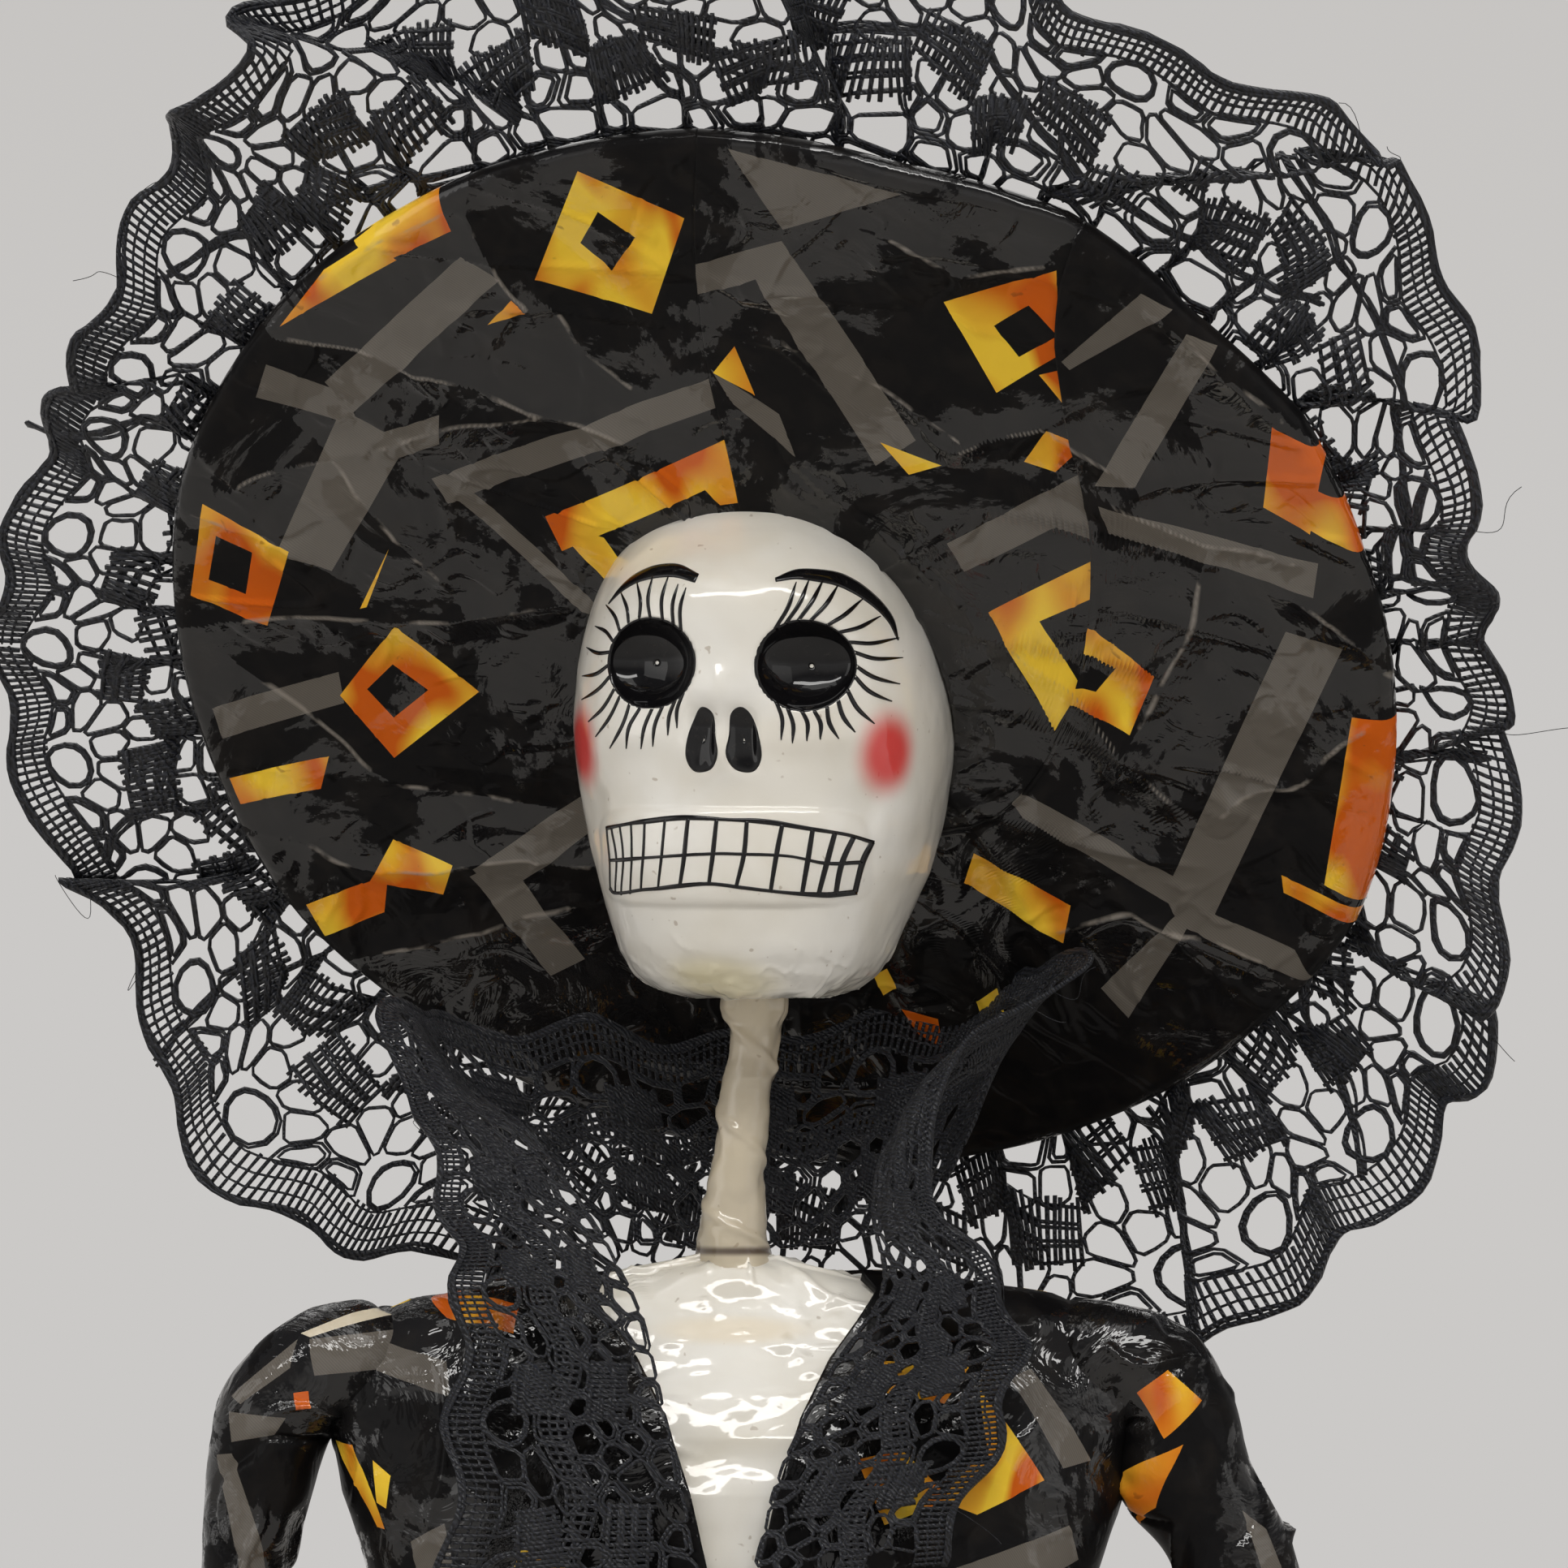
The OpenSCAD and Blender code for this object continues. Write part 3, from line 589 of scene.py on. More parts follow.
def bumps(x, h):
    """How far the face stands out beyond its plain egg shape."""
    nose = 1.15 * np.exp(-(x / 3.4) ** 2 - ((h - 25.6) / 2.8) ** 2)
    bridge = 1.5 * np.exp(-((x - 0.6) / 3.0) ** 2 - ((h - 32.2) / 2.8) ** 2)
    nostrils = 0.9 * np.exp(-((np.abs(x - 0.7) - 2.1) / 1.35) ** 4 - ((h - 27.2) / 2.9) ** 4)
    cheekbones = 0.55 * np.exp(-((np.abs(x) - 10.5) / 4.5) ** 2 - ((h - 27.2) / 2.0) ** 2)
    brow = 0.35 * np.exp(-(x / 13) ** 4 - ((h - 42.2) / 4.4) ** 2)
    hollow_cheeks = 0.7 * np.exp(-((np.abs(x) - 15) / 3.0) ** 2 - ((h - 20.5) / 3.0) ** 2)
    mouth = np.clip(1 - np.abs(x / 14.5) ** 6 - np.abs((h - 14.8) / 5.2) ** 6, 0, 1)
    return nose + bridge - nostrils + cheekbones + brow - hollow_cheeks + 0.75 * mouth ** 0.6


def sockets(x, h):
    """Depth of the round hollows of the eyes."""
    depth = 0.0
    for ex, eh, half_w, half_h in EYES:
        off = np.hypot((x - ex) / half_w, (h - eh) / half_h)
        bowl = np.sqrt(np.clip(1.25 - off ** 2, 0, None)) - 0.5
        depth = np.maximum(depth, EYE_DEPTH * np.clip(bowl, 0, None) / 0.618)
    return depth


def face_y(x, h):
    """Depth of the face at x to the figure's left and h above the chin, along the head's own axis."""
    share, front, _ = skull_size(h)
    across = np.clip(np.abs(x) / (SKULL_W * share), 0, 0.999) ** SQUARE
    ahead = np.clip(1 - across, 0, 1) ** (1 / SQUARE)
    return -front * ahead - bumps(x, h) * ease(ahead, 0.2, 0.6) + sockets(x, h)


def head_point(x, y, h):
    """Point of the head: x to its left, y towards its back and h above the chin."""
    x, y, h = np.broadcast_arrays(x, y, h)
    flat = HEAD_CENTRE + x[..., None] * HEAD_SIDE + y[..., None] * HEAD_BACK
    return flat + (CHIN_Z + h)[..., None] * [0, 0, 1]


def by_hand(points):
    """The small unevenness of hand-made papier-mache, stronger where its film wrinkled under the chin."""
    uneven = 0.10 * rough(points, 7.0, 3) + 0.04 * noise(points, 2.2, 9)
    chin = ease(points[..., 2], CHIN_Z + 9, CHIN_Z + 1)
    uneven = uneven + chin * (0.16 * rough(points, 3.2, 21) + 0.34 * creases(points, 5.0, 31, 0.10)
                              + 0.22 * creases(points, 2.6, 33, 0.12))
    return points + unit(points - head_point(0.0, 0.0, 26.0)) * uneven[..., None]


def make_skull():
    a = np.linspace(0, 2 * math.pi, 340, endpoint=False)
    h = np.concatenate([np.linspace(0, 2.4, 12)[:-1], np.linspace(2.4, 53, 210)[:-1],
                        np.linspace(53, SKULL_TOP, 16)])
    share, front, back = [v[:, None] for v in skull_size(h)]
    c, s = np.cos(a)[None, :], np.sin(a)[None, :]
    jaw = 1 - 0.10 * np.clip(1 - h[:, None] / 13, 0, 1) * (c > 0) * np.abs(c) ** 2
    x = SKULL_W * share * jaw * np.sign(c) * np.abs(c) ** (2 / SQUARE)
    round_y = np.sign(s) * np.abs(s) ** (2 / SQUARE)
    y = np.where(s < 0, front, back * (1 - 0.2 * np.clip(1 - h[:, None] / 12, 0, 1))) * round_y
    ahead = np.where(s < 0, ease(-round_y, 0.2, 0.6), 0)
    y = y + np.where(s < 0, sockets(x, h[:, None]), 0) - bumps(x, h[:, None]) * ahead
    points = head_point(x, y, np.broadcast_to(h[:, None], x.shape))
    points = by_hand(points)
    blush = rgb(222, 26, 24)
    marks = []
    for x0, h0 in ((16.4, 25.6), (-16.8, 26.4)):
        centre = head_point(x0, face_y(x0, h0), h0)
        marks.append((tuple(centre), (5.6, 6.4, 6.2), blush, 0.94))
    stain = head_point(-1.0, face_y(-1.0, 1.6), 1.6)
    marks.append((tuple(stain), (9.0, 7.0, 4.6), rgb(222, 208, 150), 0.55))
    skull = closed_stack("skull_shell", points, white_lacquer("skull_lacquer", marks))
    return own(skull, "white_lacquer", "skull")


def on_face(x, h, lift):
    """Point on the face, lifted off it along its own slope."""
    e = 0.05
    base = by_hand(head_point(x, face_y(x, h), h))
    du = by_hand(head_point(x + e, face_y(x + e, h), h)) - base
    dv = by_hand(head_point(x, face_y(x, h + e), h + e)) - base
    return base + unit(np.cross(du, dv)) * np.asarray(lift)[..., None]


def on_both_sides(grid, lift):
    """Grids of the paint's outer side, lifted off the face, and of its inner side, a little under it."""
    x, h = grid[..., 0], grid[..., 1]
    return on_face(x, h, lift + 0 * x), on_face(x, h, PAINT_FOOT + 0 * x)


def stroke(points, widths, count=24, lift=0.10):
    """Grids of a brush stroke on the face: a line through (x, h) points with a width at each."""
    points = np.asarray(points, float)
    line = spline(points, count)
    width = curve(np.linspace(0, 1, count), np.linspace(0, 1, len(widths)), widths)
    side = unit(np.gradient(line, axis=0))[:, ::-1] * np.array([1, -1])
    across = np.array([-1, -0.6, 0, 0.6, 1])
    grid = line[:, None] + side[:, None] * (across[None, :, None] * width[:, None, None] / 2)
    return on_both_sides(grid, lift * np.array([0.3, 0.9, 1.0, 0.9, 0.3]))


def patch(outline, lift=0.08, rings=14, sides=96):
    """Grids of a filled shape on the face. outline(angle) gives its (x, h) points round its middle."""
    a = np.linspace(0, 2 * math.pi, sides, endpoint=False)
    middle, edge = outline(a)
    share = np.linspace(0.02, 1, rings) ** 0.8
    grid = middle + (edge[:, None] - middle) * share[None, :, None]
    rim = np.where(share > 0.985, 0.4, 1.0)
    return on_both_sides(grid, lift * rim[None, :])


def joined_shells(name, parts, material):
    """One object of several closed thin solids. parts are (outer, inner, wrap)."""
    made = [shell(f"{name}_{k}", top, low, material, wrap) for k, (top, low, wrap) in enumerate(parts)]
    with bpy.context.temp_override(active_object=made[0], object=made[0], selected_objects=made,
                                   selected_editable_objects=made):
        bpy.ops.object.join()
    made[0].name = name
    made[0].data.name = name
    return made[0]


# Lashes of each eye: its side, how many, and the angle where one starts, its direction and its length,
# with the angles measured away from the nose
LASHES = [
    (-1, 19, [[137, 95, 4.4], [96, 91, 4.2], [59, 68, 3.6], [28, 30, 3.5], [1, -12, 4.2], [-23, -36, 5.0],
              [-54, -58, 5.2], [-97, -72, 4.5], [-139, -78, 3.7]]),
    (1, 17, [[128, 70, 5.1], [81, 59, 4.3], [54, 36, 3.9], [30, 6, 3.8], [-1, -28, 4.1], [-26, -52, 4.3],
             [-65, -73, 3.5], [-99, -81, 3.4], [-126, -83, 3.9]])]
# Brows: a line across and above the chin, and the brush's width along it
BROWS = [
    ([(-2.2, 43.8), (-5.0, 44.6), (-8.3, 44.2), (-10.8, 43.0), (-12.8, 41.2)], [1.0, 1.45, 1.3, 0.8, 0.15]),
    ([(6.0, 43.6), (8.2, 44.2), (11.0, 43.9), (13.1, 42.9), (14.9, 41.3), (16.2, 39.5), (16.9, 37.4)],
     [0.5, 1.15, 1.35, 1.2, 0.85, 0.5, 0.1])]
NOSE_X = 0.7
NOSTRIL = [(1.9, 30.4), (0.9, 29.6), (0.7, 27.4), (0.45, 25.4), (1.3, 23.9), (3.1, 23.7), (4.0, 25.2),
           (3.7, 27.6), (2.8, 29.8)]
# Teeth: the lines above, between and below them, and across each of these the places of the gaps
TEETH_LINES = [
    [(-13.2, 17.8), (-10.4, 18.2), (-7.9, 18.5), (-3.6, 18.9), (1.2, 18.7), (4.9, 18.5), (8.7, 17.9),
     (12.5, 17.2), (14.8, 16.3)],
    [(-13.0, 14.4), (-9.9, 14.6), (-6.6, 14.8), (-1.6, 15.1), (3.1, 15.1), (7.6, 14.9), (10.7, 14.2),
     (13.9, 14.2)],
    [(-13.3, 11.5), (-12.3, 11.0), (-8.1, 11.4), (-4.2, 11.8), (-0.7, 12.0), (3.0, 11.6), (6.6, 11.2),
     (10.5, 10.9), (13.2, 11.1)]]
TOOTH_GAPS = [(-13.1, -12.9, -13.2), (-12.4, -11.8, -12.4), (-11.2, -10.8, -11.5), (-9.8, -9.7, -10.2),
              (-8.1, -8.3, -8.8), (-5.7, -6.1, -6.6), (-3.1, -3.5, -4.1), (0.0, -0.4, -0.9), (3.2, 2.9, 2.0),
              (6.8, 6.2, 5.5), (9.7, 9.2, 8.5), (11.7, 10.9, 10.0), (13.3, 12.2, 11.5), (14.7, 13.9, 13.1)]


def blob(points):
    """A smooth closed outline through the points, and its middle."""
    points = np.array(points)

    def outline(a):
        t = a / (2 * math.pi) * len(points)
        ring = np.concatenate([points[-3:], points, points[:3]])
        at = np.arange(-3, len(points) + 3)
        return points.mean(0), np.stack([curve(t, at, ring[:, k]) for k in (0, 1)], -1)
    return outline


def lash_strokes(eye, side, count, rows, rng):
    """Brush strokes of one eye's lashes, each bent a little."""
    ex, eh, half_w, half_h = eye
    rows = np.array(rows[::-1], float)
    parts = []
    for k in range(count):
        start = mix(rows[-1, 0], rows[0, 0], (k + rng.uniform(-0.12, 0.12)) / (count - 1))
        start_at = np.array([start])
        way = math.radians(curve(start_at, rows[:, 0], rows[:, 1])[0])
        length = curve(start_at, rows[:, 0], rows[:, 2])[0] * rng.uniform(0.94, 1.06)
        a = math.radians(start)
        first = np.array([math.cos(a) * half_w, math.sin(a) * half_h]) * 0.98
        ahead = np.array([math.cos(way), math.sin(way)])
        last = first + ahead * length
        bulge = np.array([-ahead[1], ahead[0]]) * np.sign(np.cross(ahead, first)) * -0.32
        middle = mix(first, last, 0.5) + bulge + 0.06 * rng.standard_normal(2)
        points = np.array([first, middle, last]) * [side, 1] + [ex, eh]
        parts.append((*stroke(points, [0.36, 0.42, 0.40, 0.12], 16), False))
    return parts


def face_strokes():
    """Everything that is painted on the face in black."""
    parts = []
    rng = np.random.default_rng(5)
    for eye, (side, count, rows) in zip(EYES, LASHES):
        def disc(a, eye=eye):
            ex, eh, half_w, half_h = eye
            return np.array([ex, eh]), np.stack([ex + half_w * np.cos(a), eh + half_h * np.sin(a)], -1)
        parts.append((*patch(disc, 0.07, 26, 120), True))
        parts += lash_strokes(eye, side, count, rows, rng)
    for line, widths in BROWS:
        parts.append((*stroke(line, widths, 50), False))
    for side in (-1, 1):
        nostril = [(NOSE_X + side * x, h) for x, h in NOSTRIL]
        parts.append((*patch(blob(nostril), 0.07, 14, 90), True))
    for line, width in zip(TEETH_LINES, (0.46, 0.36, 0.46)):
        widths = width * (1 + 0.22 * rng.standard_normal(9).clip(-1, 1))
        parts.append((*stroke(line, widths, 110), False))
    lines = [np.array(line) for line in TEETH_LINES]
    for k, gap in enumerate(TOOTH_GAPS):
        points = [(x, curve(np.array([x]), line[:, 0], line[:, 1])[0]) for x, line in zip(gap, lines)]
        thick = 0.24 if k < 4 else 0.30 if k < 6 else 0.44
        parts.append((*stroke(points, [thick, thick * 1.15, thick * 0.9], 24), False))
    paint = joined_shells("face_paint", parts, PAINT)
    return own(paint, "white_lacquer")


make_skull()
face_strokes()


# ---- hat ----

BRIM_LEAN = math.radians(35.5)
HAT_SIDE = HEAD_SIDE
HAT_UP = -math.sin(BRIM_LEAN) * HEAD_BACK + math.cos(BRIM_LEAN) * np.array([0, 0, 1])
CROWN_DIR = math.cos(BRIM_LEAN) * HEAD_BACK + math.sin(BRIM_LEAN) * np.array([0, 0, 1])
# How far the rim stands ahead of the brim's middle, and half the board's thickness
DISH = 4.0
BOARD_HALF = 0.8
# Radius that turns angles round the rim into millimetres
RIM_ROUND = 64
BRIM_LOW, BRIM_HIGH = box_mm("hat_brim_board")
BRIM_CENTRE = (BRIM_LOW + BRIM_HIGH) / 2 + DISH * CROWN_DIR
BRIM_R = ((BRIM_HIGH[0] - BRIM_LOW[0]) / 2 - BOARD_HALF * CROWN_DIR[0]) / math.hypot(HAT_SIDE[0], HAT_UP[0])
# The hole for the head: its middle across and up, and its half width and half height
HOLE_CENTRE = np.array([-3.2, -8.4])
HOLE = np.array([21.0, 26.6])


def hat_point(x, q, s):
    """Point of the hat: x to the figure's left, q up the brim and s behind it."""
    x, q, s = np.broadcast_arrays(x, q, s)
    return BRIM_CENTRE + x[..., None] * HAT_SIDE + q[..., None] * HAT_UP + s[..., None] * CROWN_DIR


def spoke(a):
    """Directions across and up the brim at angles round it."""
    return np.stack([np.cos(a), np.sin(a)], -1)


def dish(r):
    return -DISH * (r / BRIM_R) ** 2


def rim_r(a):
    """The cut edge of the brim: nearly round, with a few corners."""
    degrees = np.degrees(a)
    r = BRIM_R + 0.2 + 0.5 * noise(spoke(a) * RIM_ROUND, 26, 4)
    for corner, out in ((56, 1.9), (27, 1.6), (134, 0.3), (90, 0.7), (-30, 0.9), (-150, 0.8), (160, 0.4)):
        away = np.abs((degrees - corner + 180) % 360 - 180)
        r = r + out * np.clip(1 - away / 15, 0, 1)
    return r


def brim_profile(v):
    """From the hole's edge (0) over the face to the rim (1), round it and a little way back (1.1)."""
    share = np.clip(v, 0, 1)
    round_rim = np.clip((v - 1) / 0.06, 0, 1) * math.pi
    back = np.clip((v - 1.06) / 0.04, 0, 1)
    return share, round_rim, back


def brim_sheet(a, v, lift):
    """A point on the paper that covers the brim, lift above the board."""
    share, turn, back = brim_profile(v)
    inner = HOLE_CENTRE + HOLE * spoke(a) * 0.95
    outer = rim_r(a)[..., None] * spoke(a)
    flat = mix(inner, outer, share[..., None])
    thick = BOARD_HALF + lift
    flat = flat + spoke(a) * (np.sin(turn) * thick - back * 3.0)[..., None]
    r = np.linalg.norm(flat, axis=-1)
    return flat, dish(np.minimum(r, BRIM_R)) - thick * np.cos(turn)


# The brim's long creases, in millimetres across and up from its middle, and how high each stands
BRIM_CREASES = [
    ([(-24.8, 56.4), (-24.9, 52), (-23.7, 48.2), (-21.1, 43.8)], 0.5),
    ([(-47.5, 42.6), (-36.7, 38.1), (-25.4, 33.6), (-13.1, 26.5)], 0.7),
    ([(-18, 42.1), (-15.7, 37.7), (-12, 33.3)], -0.4),
    ([(-26.5, 57.3), (-34.9, 53.7), (-41.7, 48.7)], 0.45),
    ([(-54.7, 22.9), (-43.8, 26.3), (-31.2, 29.8), (-18.8, 31.4)], 0.4),
    ([(-61.9, 21.4), (-53.2, 16.4), (-51, 14.1)], 0.6),
    ([(-62.7, 5.6), (-48.9, 5.5), (-35.3, 3.6), (-22.8, 5.7)], 0.55),
    ([(-61.5, -20.6), (-46.7, -26.9), (-32.6, -26.6), (-24.8, -27.1)], 0.5),
    ([(-48.1, -37), (-37.3, -35.6), (-28, -31.9)], 0.5),
    ([(-45.5, 26.4), (-40.9, 17.6), (-36.2, 8.9)], 0.35),
    ([(-57, -2), (-44, -17), (-30, -20)], -0.4),
    ([(19, 52.5), (25.3, 48.3), (35, 49.7)], 0.45),
    ([(4.9, 39.5), (12.8, 34.2), (22.1, 27)], 0.4),
    ([(21.9, 25.4), (31.9, 28.3), (40.5, 21.4)], 0.5),
    ([(46.9, 42.8), (51.3, 36.7), (57.4, 30.9)], 0.6),
    ([(37.6, 19.1), (46.6, 14.4), (56.8, 12)], 0.55),
    ([(56.2, 7.8), (62.6, 2.1), (64.9, -1.8)], 0.5),
    ([(46.2, 11.2), (43.1, 0.7), (36.5, -10)], 0.4),
    ([(24.6, -0.2), (30.6, -8.2), (39.1, -18)], 0.5),
    ([(44.2, -19.8), (53.5, -15.1), (61.3, -8.3)], 0.5),
    ([(24.6, -36), (33.8, -32.5), (47.5, -37.8)], 0.45),
]


def near_line(flat, points):
    """Distance of places on the brim from a given line, and their side of it as 1 or -1."""
    nearest = np.full(flat.shape[:-1], 1e3)
    side = np.ones(flat.shape[:-1])
    for a, b in zip(np.array(points[:-1]), np.array(points[1:])):
        along = b - a
        off = flat - a
        t = np.clip(off @ along / np.dot(along, along), 0, 1)
        away = np.linalg.norm(off - t[..., None] * along, axis=-1)
        turn = np.sign(along[0] * off[..., 1] - along[1] * off[..., 0])
        side = np.where(away < nearest, turn, side)
        nearest = np.minimum(nearest, away)
    return nearest, side


def shaken(flat):
    """Places on the brim moved a little, so that straight lines come out unsteady."""
    return flat + 0.9 * np.stack([noise(flat, 6, 23), noise(flat, 6, 24)], -1)


def brim_folds(flat):
    """For the paper's material: distance from the nearest crease, and how much glossier its side is."""
    nearest = np.full(flat.shape[:-1], 9.0)
    gloss = np.zeros(flat.shape[:-1])
    for k, (line, _) in enumerate(BRIM_CREASES):
        away, side = near_line(shaken(flat), line)
        nearest = np.minimum(nearest, away)
        gloss = gloss + (0.07 if k % 2 else -0.07) * side * np.exp(-away / 4.5)
    return np.stack([nearest, gloss], -1)


def brim_wrinkles(flat):
    """Height of the lacquered paper above a smooth brim."""
    r = np.linalg.norm(flat - HOLE_CENTRE, axis=-1)
    a = np.arctan2(flat[..., 1], flat[..., 0])
    spokes = np.stack([a * 22, r * 0.16], -1)
    x, q = flat[..., 0], flat[..., 1]
    swirl = np.stack([x * 0.35 + q * 0.9, q * 0.35 - x * 0.12], -1)
    high = 0.62 * noise(flat, 23, 11) + 0.26 * noise(flat, 9, 12) + 0.07 * noise(flat, 3.6, 13)
    high = high + 0.50 * creases(spokes, 5.0, 14, 0.06) + 0.55 * creases(swirl, 7.5, 15, 0.05)
    high = high + 0.32 * creases(flat, 11, 16, 0.035) - 0.25 * creases(flat, 6.5, 17, 0.05)
    high = high + 0.22 * creases(flat, 4.2, 19, 0.08)
    for line, height in BRIM_CREASES:
        away, _ = near_line(shaken(flat), line)
        high = high + height * (0.8 * np.clip(1 - away / 3.2, 0, 1) + 0.4 * np.exp(-away / 0.9))
    rim = ease(r, 50, 60)
    high = high * (1 - 0.35 * rim) + 0.25 * rim * np.abs(noise(np.stack([a * 60, r], -1), 9, 18))
    return np.maximum(high, -0.35)


def seam_line(points):
    """Angle of a seam by share of the way from the hole (0) to the rim (1)."""
    shares, angles = zip(*points)
    return lambda v: np.radians(curve(np.clip(v, 0, 1), shares, angles))


SEAM_TOP = seam_line([(0, 88), (0.35, 92), (0.7, 91.5), (1, 89.8)])
SEAM_SIDE = seam_line([(0, -38), (0.15, -25), (0.3, 2), (0.44, 23.5), (0.7, 46.5), (0.85, 51.6), (1, 53.8)])
SEAM_FOOT = seam_line([(0, -98), (0.5, -97), (1, -97.5)])


# The brim paper's two sides, off the board
PAPER_TOP = 0.55
PAPER_FOOT = -0.15


def brim_paper(name, start, end, columns, over, motifs, node):
    """One sheet of the brim's paper between two seams, over by some millimetres onto the next sheet."""
    v = np.concatenate([np.linspace(0, 1, 110)[:-1], np.linspace(1, 1.06, 9)[:-1],
                        np.linspace(1.06, 1.1, 4)])
    first, last = start(v), end(v)
    u = np.linspace(0, 1, columns)[:, None]
    a = mix(first[None, :], last[None, :] + over / RIM_ROUND, u)
    v = np.broadcast_to(v[None, :], a.shape)
    flat, s = brim_sheet(a, v, PAPER_TOP)
    curl = 0.28 * np.exp(-((1 - u) * columns / 9) ** 2) * (over > 0)
    face = ease(v, 1.05, 0.97)
    high = brim_wrinkles(flat) * face + curl * face + 0.12 * (over > 0)
    top = hat_point(flat[..., 0], flat[..., 1], s - np.cos(brim_profile(v)[1]) * high)
    low_flat, low_s = brim_sheet(a, v, PAPER_FOOT)
    low = hat_point(low_flat[..., 0], low_flat[..., 1], low_s - 0.4 * high * face)
    paper = shell(name, top, low, printed_paper(name, motifs, folded=True), uv=flat)
    add_map(paper.data, "folds", both_sides(brim_folds(flat)))
    return own(paper, "printed_paper", node)


# The print on the brim, in millimetres across and up from its middle
RIGHT_PRINT = [
    gold((-12.7, 62.2), (-2.6, 55.5), (-8.1, 42.9), (-19.6, 48),
         hole=[(-11.5, 56.7), (-8.2, 53.1), (-11.3, 48.9), (-14.1, 52.5)]),
    gold((-59.3, 21.1), (-51.2, 14.3), (-55.1, 4.7), (-62.6, 9.2),
         hole=[(-58.6, 16.8), (-55.2, 14.2), (-56.8, 8.8), (-60.4, 11)]),
    gold((-41.6, 3.7), (-34, -5.4), (-44.3, -13.3), (-48.9, -5),
         hole=[(-42.7, -1.4), (-39.4, -4.9), (-43.6, -8.2), (-45.9, -4.4)]),
    gold((-23.5, 17), (-2.9, 26.5), (-1.2, 22.6), (-22.4, 12.4)),
    gold((-2.9, 26.5), (0.2, 19), (-4.4, 18.4), (-7.4, 23)),
    gold((-23.5, 17), (-17.6, 14.2), (-15, 7.5), (-18.4, 8.4)),
    gold((-25.5, 42.4), (-22.4, 45.7), (-21.1, 44)),
    gold((-44.9, 6.3), (-40.6, 13.9), (-44.2, 6.4)),
    gold((-62.1, -14.4), (-51.2, -12.6), (-52.7, -16.7), (-61.4, -17.7)),
    gold((-56.2, -30.8), (-46.8, -27.4), (-47.9, -32.2), (-54.8, -35)),
    gold((-48.9, -28.2), (-45.8, -23.4), (-39.6, -26.4), (-41.2, -30.2)),
    gold((-47.3, 43.5), (-41.6, 50.2), (-36, 54), (-33.6, 51.4)),
    gold((-38, 53.4), (-28.2, 60.4), (-27.3, 54.8), (-34.6, 51.4)),
    grey((-26.8, 51.6), (-23.2, 48.4), (-41.6, 31.8), (-43.8, 36)),
    grey((-49.6, 38.6), (-41.8, 34.4), (-41, 30), (-51.4, 34.4)),
    grey((-42.6, 32.5), (-36.4, 27.6), (-47.2, 11.2), (-52.6, 14.1)),
    grey((-40.8, 28.6), (-32.4, 31.2), (-33, 27.4), (-42.4, 24)),
    grey((-1.2, 35.2), (-1.2, 31.4), (-33.4, 19.4), (-34.6, 22.8)),
    grey((-34.6, 22.8), (-30.6, 20.6), (-17.8, 2.6), (-21.4, 4.4)),
    grey((-62.6, -5.4), (-48.6, -2), (-48.6, -6), (-62.1, -9.4)),
    grey((-37.5, -27), (-17.6, -14.4), (-17.6, -18.8), (-35.5, -31)),
    grey((-34, -26), (-27, -39), (-31, -41), (-38, -28)),
]
MIDDLE_PRINT = [
    gold((23.2, 44.5), (36, 49.4), (34.6, 38), (27.1, 32.7),
         hole=[(28.1, 41.5), (32.3, 44.5), (34.8, 40.6), (30.2, 37.5)]),
    gold((-2.8, 35.1), (0, 38.5), (1.2, 32.1)),
    gold((13.7, 26), (19.9, 23.2), (16.2, 21.9)),
    gold((32, 35.2), (38.4, 37.3), (34.6, 30.6)),
    gold((28.8, 23.8), (31.9, 28.3), (35.6, 26.4), (32, 22.6)),
    gold((22.4, 4.4), (35.3, 11.9), (35.4, 7.4), (26.2, 2.6)),
    gold((22.4, 4.4), (27.6, 3.8), (31.2, -5), (27.6, -10.6)),
    grey((-3.4, 45.2), (-2.4, 49.4), (7.2, 52.4), (6, 48)),
    grey((2.8, 49.4), (7.2, 52.4), (17.6, 26.4), (12.8, 23)),
    grey((-3, 35.6), (-1.2, 31), (4.4, 24.2), (3.4, 29.6)),
    grey((3.6, 64.8), (21, 59), (7.6, 54)),
    grey((19.1, 13.2), (20.4, 9.4), (37, 19), (35.4, 23)),
    grey((30, 16), (33, 20), (38, 18), (38, 13)),
]
